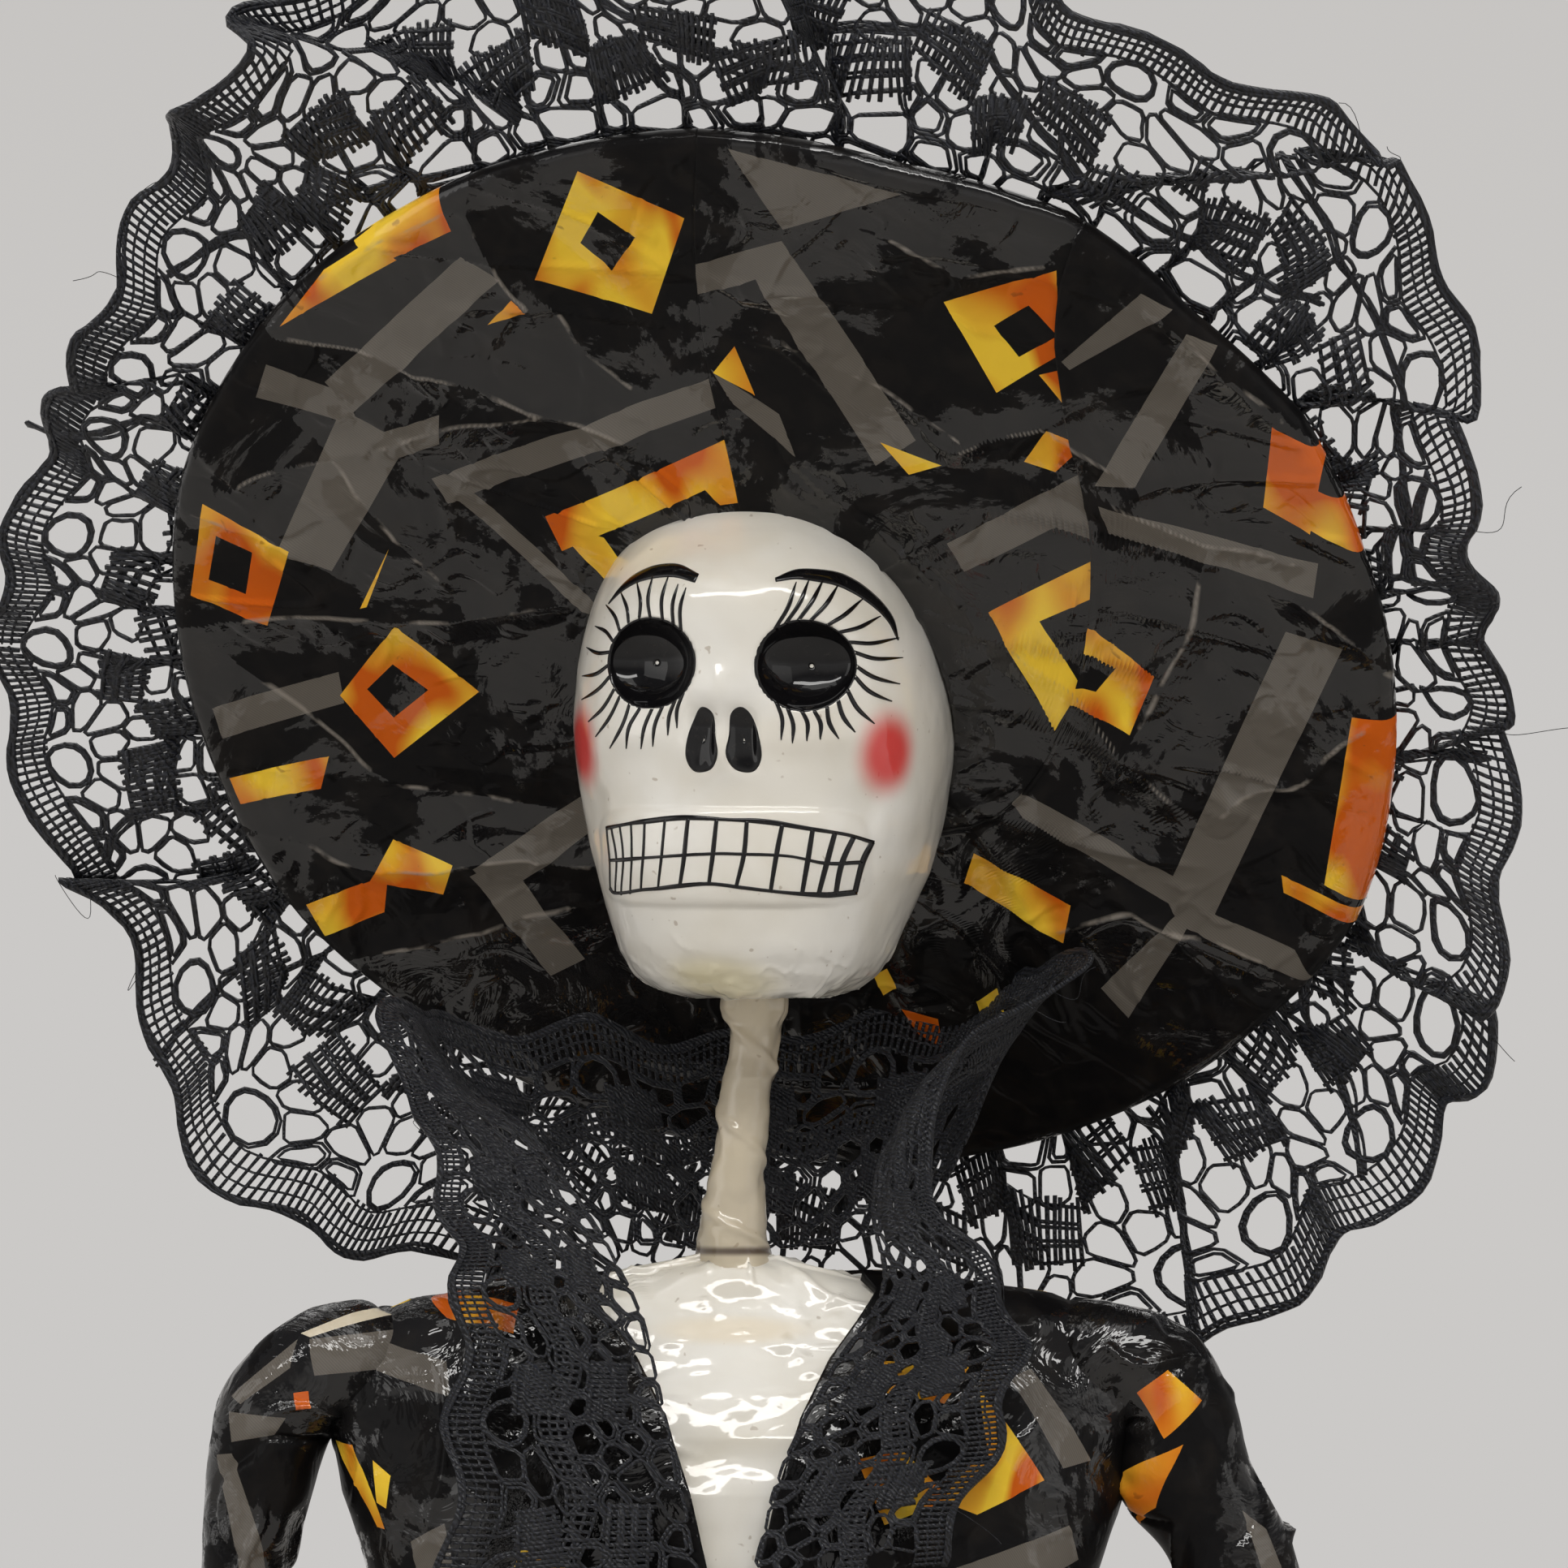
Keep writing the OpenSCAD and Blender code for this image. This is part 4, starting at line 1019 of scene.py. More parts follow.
LEFT_PRINT = [
    gold((4.2, -41.5), (5.8, -40.5), (6.6, -42.8), (5, -43.9)),
    gold((6.8, -45.5), (10.7, -46.6), (10.8, -50.2), (8.4, -48.7)),
    gold((15.1, -44.5), (17.6, -42.7), (18.1, -46.2), (15.7, -47.7)),
    gold((33, 3), (39.4, -3), (35.8, -10.6), (29.6, -7),
         hole=[(31.2, 0.1), (35.3, -2.3), (32.7, -5.5), (29.4, -4.6)]),
    gold((56.4, 30.4), (54, 19.6), (58.6, 16.4), (61.4, 26.4)),
    gold((56, 18.4), (64.2, 13.6), (65.6, 18.6), (59.8, 22.4)),
    gold((60.4, -6.6), (65.4, -7), (60.4, -31), (55, -28)),
    gold((50.4, -27.2), (61, -32.4), (59.4, -34.2), (50.4, -29.4)),
    gold((16.9, -26.3), (26.8, -32.3), (25.5, -36.9), (15.4, -30)),
    grey((48.8, 41.9), (51.7, 40), (40.5, 21.4), (36.1, 21.2)),
    grey((44.6, 46.8), (47.6, 44.6), (35.5, 36.3), (34.8, 37.4)),
    grey((36.2, 18.8), (36.8, 15.2), (58, 8.4), (59, 12.6)),
    grey((54.4, 3.6), (60.4, 2), (42, -33.6), (37, -31)),
    grey((42.6, -29.4), (37.6, -33.4), (29, -42.4), (31.6, -46)),
    grey((20.6, -17), (22.8, -21.6), (40.8, -33.6), (39.3, -28.6)),
    grey((37, -30), (38.6, -34), (52.4, -41), (50.9, -36.4)),
]


def seam_foot_again(v):
    """The lower seam, a whole turn further on."""
    return SEAM_FOOT(v) + 2 * math.pi


brim_paper("brim_print_right", SEAM_TOP, seam_foot_again, 640, 0.0, RIGHT_PRINT, "brim_paper_right")
brim_paper("brim_print_left", SEAM_FOOT, SEAM_SIDE, 460, 0.6, LEFT_PRINT, "brim_paper_left")
brim_paper("brim_print_middle", SEAM_SIDE, SEAM_TOP, 200, 0.0, MIDDLE_PRINT, "brim_paper_middle")


def crumpled_shell(name, at, rows, columns, thick, material, node, wrap=False, high=1.0, uv=None):
    """Lacquered paper over a form. at(u, v) gives points; the paper is crumpled along its own slope."""
    along = np.linspace(0, 1, rows, endpoint=not wrap)
    u, v = np.meshgrid(along, np.linspace(0, 1, columns), indexing="ij")
    base = at(u, v)
    e = 0.002
    du, dv = at(u + e, v) - at(u - e, v), at(u, v + e) - at(u, v - e)
    out = unit(np.cross(du, dv) + 1e-12)
    middle = base.reshape(-1, 3).mean(0)
    flip = np.sign(np.sum(out * (base - middle)))
    out = out * (flip if flip else 1)
    bump = high * (0.9 * planes(base, 14, 41) + 0.4 * planes(base, 6, 43) + 0.5
                   + 0.7 * creases(base, 11, 45, 0.07) + 0.3 * creases(base, 5, 47, 0.10))
    top = base + out * (bump + thick * 0.4)[..., None]
    low = base - out * (thick * 0.6)
    paper = shell(name, top, low, material, wrap, uv(base) if uv else None)
    return own(paper, "printed_paper", node)


GIFT_PAPER = printed_paper("gift_paper", PAPER_REPEAT, PAPER_TILE)


# The crown: its radius at the foot and its height, and where its paper starts behind the brim
CROWN_R = 28.1
CROWN_HIGH = 26.1
CROWN_FOOT = 1.1
# The paper behind the brim: the radius where it goes under the crown, and how far it stops from the rim
BACK_HOLE_R = 27.0
BACK_MARGIN = 2.2


def brim_back_at(u, v):
    a = u * 2 * math.pi
    inner = HOLE_CENTRE + BACK_HOLE_R * spoke(a)
    outer = (rim_r(a) - BACK_MARGIN)[..., None] * spoke(a)
    flat = mix(inner, outer, v[..., None])
    return hat_point(flat[..., 0], flat[..., 1], dish(np.linalg.norm(flat, axis=-1)) + BOARD_HALF + 0.25)


def crown_at(u, v):
    a, t = u * 2 * math.pi, np.clip(v, 0, 1) * 0.985 * math.pi / 2
    x = HOLE_CENTRE[0] + CROWN_R * np.cos(t) * np.cos(a)
    q = HOLE_CENTRE[1] + CROWN_R * np.cos(t) * np.sin(a)
    return hat_point(x, q, CROWN_FOOT + CROWN_HIGH * np.sin(t))


def hat_uv(base):
    """The print runs flat across the brim and the crown."""
    away = base - BRIM_CENTRE
    return np.stack([away @ HAT_SIDE, away @ HAT_UP], -1)


crumpled_shell("brim_print_back", brim_back_at, 420, 70, 0.6, GIFT_PAPER, "brim_paper_back", True, 0.5,
               hat_uv)
crumpled_shell("crown_print", crown_at, 260, 70, 0.6, GIFT_PAPER, "crown_paper", True, 0.7, hat_uv)


def make_seam_strip():
    """The ragged strip that ties the skull to the brim, seen as a thin torn edge over the brow."""
    u = np.linspace(0, 2 * math.pi, 420, endpoint=False)[:, None]
    v = np.linspace(0, 1, 9)[None, :]
    circle = spoke(u) * 60
    ragged = 1.3 * noise(circle, 9, 51) + 0.5 * noise(circle, 3.2, 52)
    over_brow = ease(np.sin(u), 0.35, 0.8)
    grow = mix(-4.6, mix(-4.0, -0.9, over_brow) + 0.55 * ragged, v)
    x = HOLE_CENTRE[0] + (HOLE[0] + grow) * np.cos(u)
    q = HOLE_CENTRE[1] + (HOLE[1] + grow) * np.sin(u)
    s = -BOARD_HALF - 0.75 - 1.6 * (1 - v) ** 2 + 0.12 * noise(circle, 3, 53)
    top = hat_point(x, q, s - 0.12)
    low = hat_point(x, q, s + 0.2)
    strip = shell("seam_strip", top, low, white_lacquer("strip_lacquer", warm=1.0), True)
    return own(strip, "white_lacquer", "hat_seam_strip")


make_seam_strip()


# ---- lace ----

# Length and depth of one scallop of the lace's edge
SCALLOP = 16.5
SCALLOP_DEPTH = 2.6
# Half the thickness of a thread
THREAD = 0.2
EDGE_THREAD = 0.29
STRAY_THREAD = 0.04
LOOP_POINTS = 12
PETAL_RUNGS = 13


def clip_cell(polygon, normal, reach):
    """Part of a convex polygon where normal . p is less than reach."""
    kept = []
    for a, b in zip(polygon, np.roll(polygon, -1, axis=0)):
        da, db = np.dot(normal, a) - reach, np.dot(normal, b) - reach
        if da <= 0:
            kept.append(a)
        if da * db < 0:
            kept.append(a + (b - a) * da / (da - db))
    return np.array(kept)


def net_cells(seeds, sizes, low, high):
    """Cells of an irregular net between two lines across: what is nearer to one seed than to the rest."""
    cells = []
    around = np.concatenate([seeds + [SCALLOP * k, 0] for k in (-1, 0, 1)])
    big = np.tile(sizes, 3)
    for seed, size in zip(seeds, sizes):
        cell = seed + np.array([[-9.0, -9], [9, -9], [9, 9], [-9, 9]])
        cell = clip_cell(cell, np.array([0.0, -1]), -low)
        cell = clip_cell(cell, np.array([0.0, 1]), high)
        for other, other_size in zip(around, big):
            way = other - seed
            far = np.dot(way, way)
            if 0.01 < far < 200 and len(cell) > 2:
                share = 0.5 + (size ** 2 - other_size ** 2) / (2 * far)
                cell = clip_cell(cell, way, np.dot(way, seed) + share * far)
        cells.append(cell)
    return cells


def with_count(ring, count):
    """The same closed ring with a set number of points: long sides are split and short ones merged."""
    ring = list(ring)
    while len(ring) != count:
        step = [np.linalg.norm(b - a) for a, b in zip(ring, ring[1:] + ring[:1])]
        k = int(np.argmax(step) if len(ring) < count else np.argmin(step))
        middle = (ring[k] + ring[(k + 1) % len(ring)]) / 2
        if len(ring) < count:
            ring.insert(k + 1, middle)
        else:
            ring[k] = middle
            ring.pop((k + 1) % len(ring))
    return np.array(ring)


def thread_loop(cell, inset):
    """A thread's closed path just inside a cell, its corners cut off."""
    middle = cell.mean(0)
    for a, b in zip(cell.copy(), np.roll(cell, -1, axis=0)):
        side = unit(b - a)
        normal = np.array([side[1], -side[0]])
        normal = normal if np.dot(normal, a - middle) > 0 else -normal
        cell = clip_cell(cell, normal, np.dot(normal, a) - inset)
        if len(cell) < 3:
            return None
    after = np.roll(cell, -1, axis=0)
    if np.linalg.norm(after - cell, axis=1).sum() < 2.6:
        return None
    cut = np.stack([mix(cell, after, 0.15), mix(cell, after, 0.85)], 1).reshape(-1, 2)
    return with_count(cut, LOOP_POINTS)


def scallop_edge(u, width):
    """Distance of the outer edge from the root: a bulge for each scallop."""
    return width - SCALLOP_DEPTH * (0.5 - 0.5 * np.cos(2 * math.pi * u / SCALLOP))


def petal(cx, cy, length, wide, lean, turn):
    """Corners of a leaf-shaped motif: a parallelogram leaning to one side."""
    corners = np.array([[-length / 2, -wide / 2], [length / 2, -wide / 2 + lean],
                        [length / 2, wide / 2 + lean], [-length / 2, wide / 2]]) - [0, lean / 2]
    c, s = math.cos(turn), math.sin(turn)
    return corners @ np.array([[c, s], [-s, c]]) + [cx, cy]


def in_polygon(point, corners):
    sides = [np.cross(b - a, point - a) for a, b in zip(corners, np.roll(corners, -1, axis=0))]
    return min(sides) > 0 or max(sides) < 0


def lace_repeat(width, low, pitch, petals, seed):
    """Threads of one scallop's length of lace: closed loops of the net, and the rungs of its petals."""
    rng = np.random.default_rng(seed)
    border = width - 4.9
    hole = np.array([0.0, border - 2.5])
    seeds, sizes = [hole], [2.5]
    row, y = 0, low + pitch * 0.35
    columns = int(round(SCALLOP / pitch))
    while y < border + 0.6:
        for k in range(columns):
            x = (k + 0.5 * (row % 2)) * SCALLOP / columns + rng.uniform(-0.9, 0.9)
            point = np.array([x, y + rng.uniform(-0.7, 0.7)])
            gap = (point - hole + SCALLOP / 2) % SCALLOP - SCALLOP / 2
            if math.hypot(gap[0], point[1] - hole[1]) > 4.1:
                seeds.append(point)
                sizes.append(0.9)
        row, y = row + 1, y + pitch * 0.84
    shapes = [petal(*p) for p in petals]
    turn = np.arange(LOOP_POINTS) / LOOP_POINTS * 2 * math.pi
    loops = [hole + r * np.stack([np.cos(turn), np.sin(turn)], -1) for r in (2.45, 2.75)]
    for cell in net_cells(np.array(seeds), np.array(sizes), low, border + 0.6)[1:]:
        middle = cell.mean(0)
        covered = any(in_polygon(middle + [SCALLOP * n, 0], shape) for shape in shapes for n in (-1, 0, 1))
        inset = rng.uniform(0.07, 0.26)
        for more in (0.0, 0.42)[:1 if rng.random() < 0.62 else 2]:
            loop = None if covered else thread_loop(cell, inset + more)
            if loop is not None:
                loops.append(loop)
    straight = []
    for a, b, c, d in shapes:
        for k in range(PETAL_RUNGS):
            t = (k + 0.5) / PETAL_RUNGS + rng.uniform(-0.012, 0.012)
            foot, head = mix(a, b, t), mix(d, c, t)
            ends = rng.uniform(-0.16, 0.03), rng.uniform(0.97, 1.16)
            straight.append([mix(foot, head, ends[0]), mix(foot, head, 0.5), mix(foot, head, ends[1])])
        for t in (0.04, 0.32, 0.40, 0.62, 0.70, 0.96):
            foot, head = mix(a, d, t), mix(b, c, t)
            straight.append([foot, mix(foot, head, 0.5), head])
    return np.array(loops), np.array(straight)


def ladder(length, width, near, far, pitch, ragged=0.0):
    """Rungs between two distances from the scalloped edge, their inner ends uneven."""
    count = int(length / pitch)
    u = (np.arange(count) + 0.5) * length / count
    edge = scallop_edge(u, width)
    lean = 0.5 * noise(np.stack([u, u * 0], -1), 3.0, 75)
    reach = far + ragged * noise(np.stack([u, u * 0 + 9], -1), 1.1, 76)
    return np.stack([np.stack([u + lean * (t - 0.5), edge - mix(reach, near, t)], -1)
                     for t in (0, 0.33, 0.66, 1)], 1)


def long_threads(length, width, insets, step):
    """Threads that follow the scalloped edge, each at its own distance inside it."""
    u = np.linspace(0, length, int(length / step) + 1)
    threads = []
    for inset in insets:
        unsteady = 0.22 * noise(np.stack([u, u * 0 + 7 * inset], -1), 2.5, 77)
        threads.append(np.stack([u, scallop_edge(u, width) - inset + unsteady], -1))
    return np.array(threads)


def thread_tubes(surface, lines, radius, closed, sides=4):
    """Points and faces of round threads along lines on a surface. lines is (count, points, 2)."""
    e = 0.05
    u, w = lines[..., 0], lines[..., 1]
    middle = surface(u, w)
    du, dw = surface(u + e, w) - surface(u - e, w), surface(u, w + e) - surface(u, w - e)
    out = unit(np.cross(du, dw) + 1e-12)
    if closed:
        ahead = np.roll(middle, -1, axis=1) - np.roll(middle, 1, axis=1)
    else:
        ahead = np.gradient(middle, axis=1)
    ahead = unit(ahead + 1e-12)
    across = unit(np.cross(ahead, out) + 1e-12)
    a = (np.arange(sides) + 0.5) * 2 * math.pi / sides
    ring = out[..., None, :] * np.cos(a)[:, None] + across[..., None, :] * np.sin(a)[:, None]
    fuzz = radius * (1 + 0.22 * noise(middle, 0.9, 61))
    points = middle[..., None, :] + ring * fuzz[..., None, None]
    count, n = lines.shape[:2]
    line = np.arange(count)[:, None, None] * n * sides
    i = np.arange(n if closed else n - 1)[None, :, None]
    k = np.arange(sides)[None, None, :]
    nxt, right = (i + 1) % n, (k + 1) % sides
    faces = np.stack([line + i * sides + k, line + i * sides + right, line + nxt * sides + right,
                      line + nxt * sides + k], -1).reshape(-1, 4)
    if not closed:
        starts = (np.arange(count) * n * sides)[:, None]
        ends = starts + (n - 1) * sides
        faces = np.concatenate([faces, starts + np.arange(sides)[::-1], ends + np.arange(sides)])
    return points.reshape(-1, 3), faces


def net_and_petals(width, low, pitch, petals, seed, repeats):
    """All the loops and rungs of a strip, moved with its scalloped edge and made unsteady."""
    shift = np.array([[SCALLOP * k, 0.0] for k in range(repeats)])[:, None, None, :]
    made = []
    for lines, unsteady in zip(lace_repeat(width, low, pitch, petals, seed), (0.22, 0.10)):
        lines = (lines[None] + shift).reshape(-1, *lines.shape[1:])
        edge_shift = scallop_edge(lines[..., 0], width) - width
        lines[..., 1] += edge_shift * ease(lines[..., 1], width - 20, width - 6)
        lines += unsteady * np.stack([noise(lines, 3.1, 71), noise(lines, 3.1, 72)], -1)
        made.append(lines)
    return made


def rope_threads(ropes):
    """Seven threads along each line where the lace is folded hard."""
    strands = [spline(rope, 34) for rope in ropes for _ in range(7)]
    drift = [0.75 * np.stack([noise(line, 7, 300 + k), noise(line, 7, 400 + k)], -1)
             for k, line in enumerate(strands)]
    return np.array(strands) + np.array(drift)


def stray_thread(surface, total, width, rng):
    """Points and faces of one loose end of thread that stands out from the edge."""
    count, sides = 14, 4
    u = rng.uniform(0, total)
    root = surface(np.array(u), np.array(scallop_edge(u, width)))
    way = unit(root - surface(np.array(u), np.array(width * 0.5))) + 0.5 * rng.standard_normal(3)
    bend = rng.standard_normal(3) * 0.8
    t = np.linspace(0, 1, count)[:, None]
    path = way * t + bend * t * t + 0.4 * np.sin(t * 5) * np.roll(bend, 1)
    rings = tube_rings(root + path * rng.uniform(1.5, 5.0), STRAY_THREAD, sides)
    i, k = np.arange(count - 1)[:, None] * sides, np.arange(sides)[None, :]
    after = (k + 1) % sides
    walls = np.stack([i + k, i + after, i + sides + after, i + sides + k], -1).reshape(-1, sides)
    last = (count - 1) * sides
    return rings.reshape(-1, 3), np.concatenate([walls, [[3, 2, 1, 0]], [last + np.arange(sides)]])


def make_lace(name, surface, length, width, low, pitch, petals, node, heavy=1.0, strays=0,
              seed=1, bands=(), ropes=()):
    """A strip of scalloped lace along a surface. surface(u, w): length along, distance from the root."""
    repeats = int(round(length / SCALLOP))
    total = repeats * SCALLOP
    loops, straight = net_and_petals(width, low, pitch, petals, seed, repeats)
    thread = THREAD * heavy
    groups = [
        (loops, thread, True),
        (straight, THREAD * 1.15 * heavy, False),
        (ladder(total, width, 0.0, 4.7, 0.80, 0.7), thread, False),
        (long_threads(total, width, (1.7, 3.0, 4.6), 1.6), THREAD * 0.68 * heavy, False),
        (long_threads(total, width, (0.0, 0.42), 1.2), EDGE_THREAD * heavy, False),
    ]
    for near, far, step in bands:
        insets = np.linspace(near, far, int((far - near) / 1.3) + 2)
        groups.append((ladder(total, width, near, far, step), thread * 1.15, False))
        groups.append((long_threads(total, width, insets, 1.8), thread, False))
    if ropes:
        groups.append((rope_threads(ropes), THREAD * 1.1, False))
    made = [thread_tubes(surface, *group) for group in groups]
    rng = np.random.default_rng(seed + 9)
    made += [stray_thread(surface, total, width, rng) for _ in range(strays)]
    starts = np.cumsum([0] + [len(points) for points, _ in made])
    points = np.concatenate([points for points, _ in made])
    faces = np.concatenate([faces + start for (_, faces), start in zip(made, starts)])
    lace = own(mesh_object(name, points, faces, LACE), "lace", node)


# Hat lace: angle around the brim, reach beyond its edge, swing towards the face
LACE_ROWS = np.array([
    [-180, 24, -2], [-167, 25, 3], [-154, 24, 0], [-142, 30, 9], [-123, 23, 14], [-105, 25, 17],
    [-90, 24, 16], [-77, 26, 18], [-64, 26, 18], [-55, 24.6, 15], [-44, 25, 8], [-25, 18.5, 12],
    [-4, 13, -6], [11, 14.7, 8], [27, 22, -4], [40, 30, -2], [56, 28.5, 3], [72, 30, -4],
    [90, 30, 4], [105, 30, -4], [119, 29, 2], [127, 26, 5], [136, 20.5, -4], [147, 18, 6],
    [161, 18.5, -5], [180, 24, -2]])
HAT_LACE_WIDTH = 38.0
# How far the lace reaches out for each millimetre of its width
LACE_SPREAD = 0.97
HAT_LACE_LENGTH = SCALLOP * 35
RUFFLES = 13
# Folds of the hat lace: angle at the rim, how far it slants by the edge, depth of the fold
LACE_FOLDS = [(110, 14, 6), (52, -18, 6), (24, -14, 5.5), (152, 14, 6), (-156, -8, 6.5), (-33, 8, 6),
              (-9, 6, 5), (-120, 5, 6), (-62, -6, 6), (80, 8, 5)]
# Lines where the hat lace is folded hard, seen as ropes of threads: angle at the rim, reach beyond it
LACE_ROPES = [
    [(111, 0), (117, 3), (126, 6), (134, 8.5), (141, 12)],
    [(144, -1), (149, 1), (156, 7), (160, 13), (163, 20)],
    [(-150, 1), (-149, 8), (-148, 18), (-147, 27)],
    [(101, 24), (93, 16), (84, 10), (78, 12), (69, 17)],
    [(68, 17), (61, 10), (56, 7), (47, 6.5), (40, 7.6), (34, 11)],
    [(45, 21), (37, 17), (29, 13), (19, 9), (8, 5)],
    [(8, 1), (13, 6), (17, 11)],
    [(-15, 0), (-14, 5), (-13, 11)],
    [(-41, 2), (-44, 9), (-48, 20)],
    [(-172, 2), (-166, 9), (-163, 18)],
    [(-112, 1), (-117, 9), (-121, 18)]]


def hat_lace_at(u, w):
    """Point of the gathered lace: its root is glued behind the brim, the rest stands out beyond the rim."""
    degrees = u / HAT_LACE_LENGTH * 360 - 180
    circle = np.stack([np.cos(np.radians(degrees)), np.sin(np.radians(degrees))], -1)
    phase = math.radians(RUFFLES) * degrees + 1.5 * noise(circle * 4.0, 1.0, 81)
    deep = 1 + 0.5 * noise(circle * 3.0, 1.0, 83)
    reach = curve(degrees, LACE_ROWS[:, 0], LACE_ROWS[:, 1])
    swing = curve(degrees, LACE_ROWS[:, 0], LACE_ROWS[:, 2])
    r = BRIM_R + reach - LACE_SPREAD * (HAT_LACE_WIDTH - w)
    out = np.clip((r - BRIM_R) / 25, 0, 1.2)
    r = r + 0.8 * out * noise(np.stack([u, w], -1), 9, 84)
    slide = 0.8 * deep * out ** 0.8 * np.sin(2 * phase + 0.7)
    slide = slide + 0.9 * out * noise(np.stack([u, w * 0.5], -1), 11, 85)
    lift = swing * out ** 1.4 + 1.6 * deep * out ** 0.9 * np.sin(phase)
    lift = lift + 0.5 * out * np.sin(3.1 * phase + w * 0.12)
    gather = 1 - ease(out, 0.0, 0.55)
    turn = 2 * math.pi * u / 10.5 + 2.2 * noise(circle * 9.0, 1.0, 87)
    slide = slide + 2.2 * gather * np.sin(turn)
    lift = lift + 1.0 * gather * np.cos(turn) * ease(r, BRIM_R, BRIM_R + 3)
    for at, slant, depth in LACE_FOLDS:
        off = (degrees - at - slant * (out - 0.4) + 180) % 360 - 180
        x = off / 3.6
        bell = np.exp(-x * x)
        slide = slide - depth * x * bell * ease(out, 0.02, 0.3)
        lift = lift + 2.6 * x * bell * ease(out, 0.02, 0.4)
    a = np.radians(degrees) + slide / (BRIM_R + 12)
    s = dish(np.minimum(r, BRIM_R)) + BOARD_HALF + 1.3 - lift
    return hat_point(r * np.cos(a), r * np.sin(a), s)


def lace_place(degrees, reach):
    """Length along the hat lace and distance from its root, for a place beyond the rim."""
    whole = curve(np.array([float(degrees)]), LACE_ROWS[:, 0], LACE_ROWS[:, 1])[0]
    return ((degrees + 180) / 360 * HAT_LACE_LENGTH, HAT_LACE_WIDTH - (whole - reach) / LACE_SPREAD)


# Petals of the lace: middle along and across, length, width, lean and turn
HAT_PETALS = [(4.1, 22.4, 8.8, 6.4, 2.8, 0.10), (12.5, 16.8, 8.6, 6.2, -2.8, -0.12)]
make_lace("hat_lace_strip", hat_lace_at, HAT_LACE_LENGTH, HAT_LACE_WIDTH, 5.0, 4.5, HAT_PETALS, "hat_lace",
          heavy=1.3, strays=12, seed=3,
          ropes=[[lace_place(*place) for place in rope] for rope in LACE_ROPES])

# Collar lace: the edge sewn to the neckline and the free edge, up the right lapel, round the neck and
# down the left one
COLLAR_INNER = np.array([
    [-3, -19.4, 279.7], [-6.4, -18.6, 295.3], [-9.8, -14.4, 308], [-15.8, -9, 318.4], [-22.6, -3, 326.6],
    [-31, 4, 331], [-24, 11, 318], [-12, 11, 313.4], [0, 11, 312.8], [12, 11, 313.4], [21, 10, 318],
    [27, 5, 332], [17.6, -2.6, 326], [14.6, -7, 318], [15.5, -10.6, 309.4], [10, -15.2, 301],
    [4.7, -18.8, 291], [1.7, -19.4, 279.7]])
COLLAR_OUTER = np.array([
    [-31.2, -17.4, 279.7], [-30.3, -17.2, 296], [-29.5, -13, 309], [-31.2, -9, 318.4], [-33.6, -3.4, 327.6],
    [-37.8, 5.4, 338.6], [-31, 15, 338], [-16, 20, 337], [0, 21, 336.4], [16, 20, 338], [30, 14, 342],
    [37, 4, 344.6], [25, -5, 334], [20, -8.4, 321.4], [27, -11.4, 312.4], [31, -14, 303.6],
    [28, -17.6, 293], [22, -18.6, 281]])
COLLAR_LENGTH = SCALLOP * 17
COLLAR_WIDTH = 27.0


def along_rows(rows, t):
    """Point at a share t of the way along a row of points."""
    at = np.arange(len(rows))
    x = np.clip(t, 0, 1) * (len(rows) - 1)
    return np.stack([curve(x, at, rows[:, k]) for k in range(3)], -1)


def collar_at(u, w):
    """Point of the collar between its sewn edge and its free edge, with soft waves along it."""
    t = np.clip(u / COLLAR_LENGTH, 0, 1)
    v = w / COLLAR_WIDTH
    inner, outer = along_rows(COLLAR_INNER, t), along_rows(COLLAR_OUTER, t)
    base = mix(inner, outer, v[..., None])
    e = 0.01
    ahead = along_rows(COLLAR_INNER, t + e) + along_rows(COLLAR_OUTER, t + e)
    ahead = ahead - along_rows(COLLAR_INNER, t - e) - along_rows(COLLAR_OUTER, t - e)
    out = unit(np.cross(ahead, outer - inner) + 1e-9)
    place = np.stack([u, w], -1)
    wave = 1.3 * v * np.sin(u * 0.23 + 1.2 * noise(place, 22, 91))
    wave = wave + 0.9 * np.sin(math.pi * np.clip(v, 0, 1))
    wave = wave + 0.5 * noise(place, 7, 92)
    return base + out * wave[..., None]


COLLAR_PETALS = [(4.2, 17.4, 6.6, 4.6, 1.6, 0.1), (4.2, 7.0, 7.6, 4.6, -1.4, 0.0)]
# Close rungs along the middle of the collar lace: from and to inside its edge, and their pitch
COLLAR_BANDS = [(11.4, 14.6, 0.9)]
make_lace("collar_lace_strip", collar_at, COLLAR_LENGTH, COLLAR_WIDTH, 0.3, 3.7, COLLAR_PETALS,
          "collar_lace", heavy=1.2, strays=8, seed=5,
          bands=COLLAR_BANDS)


# ---- neck and chest ----

# The torso: height, half width, half depth
TORSO = np.array([
    [236, 20.4, 14.6], [244, 20.0, 14.0], [254, 24.0, 15.0], [266, 31.0, 16.6], [279, 37.6, 17.4],
    [288, 40.6, 16.6], [294, 41.8, 14.8], [299, 42.2, 12.2], [303, 41.4, 9.6], [306, 38.4, 7.8],
    [308, 33.5, 6.6], [309.6, 24.0, 5.8], [311.4, 14.4, 5.0], [313, 7.0, 4.2], [314, 2.6, 2.5]])
# Where a layer on the torso starts to stand out upwards instead of sideways
SHOULDER_TURN = 292.0
TORSO_TOP = 314.0


def table(x, rows, k):
    """Column k of a table at x, straight between its rows."""
    return np.interp(x, rows[:, 0], rows[:, k])


def torso_at(a, z, out):
    """Point at angle a and height z, a distance out of the torso's outline."""
    over = np.clip((z - SHOULDER_TURN) / (TORSO_TOP - SHOULDER_TURN), 0, 1)
    w = table(z, TORSO, 1) + out * (1 - over)
    b = table(z, TORSO, 2) + out * (1 - over)
    return np.stack([w * np.cos(a), b * np.sin(a), z + out * over], -1)
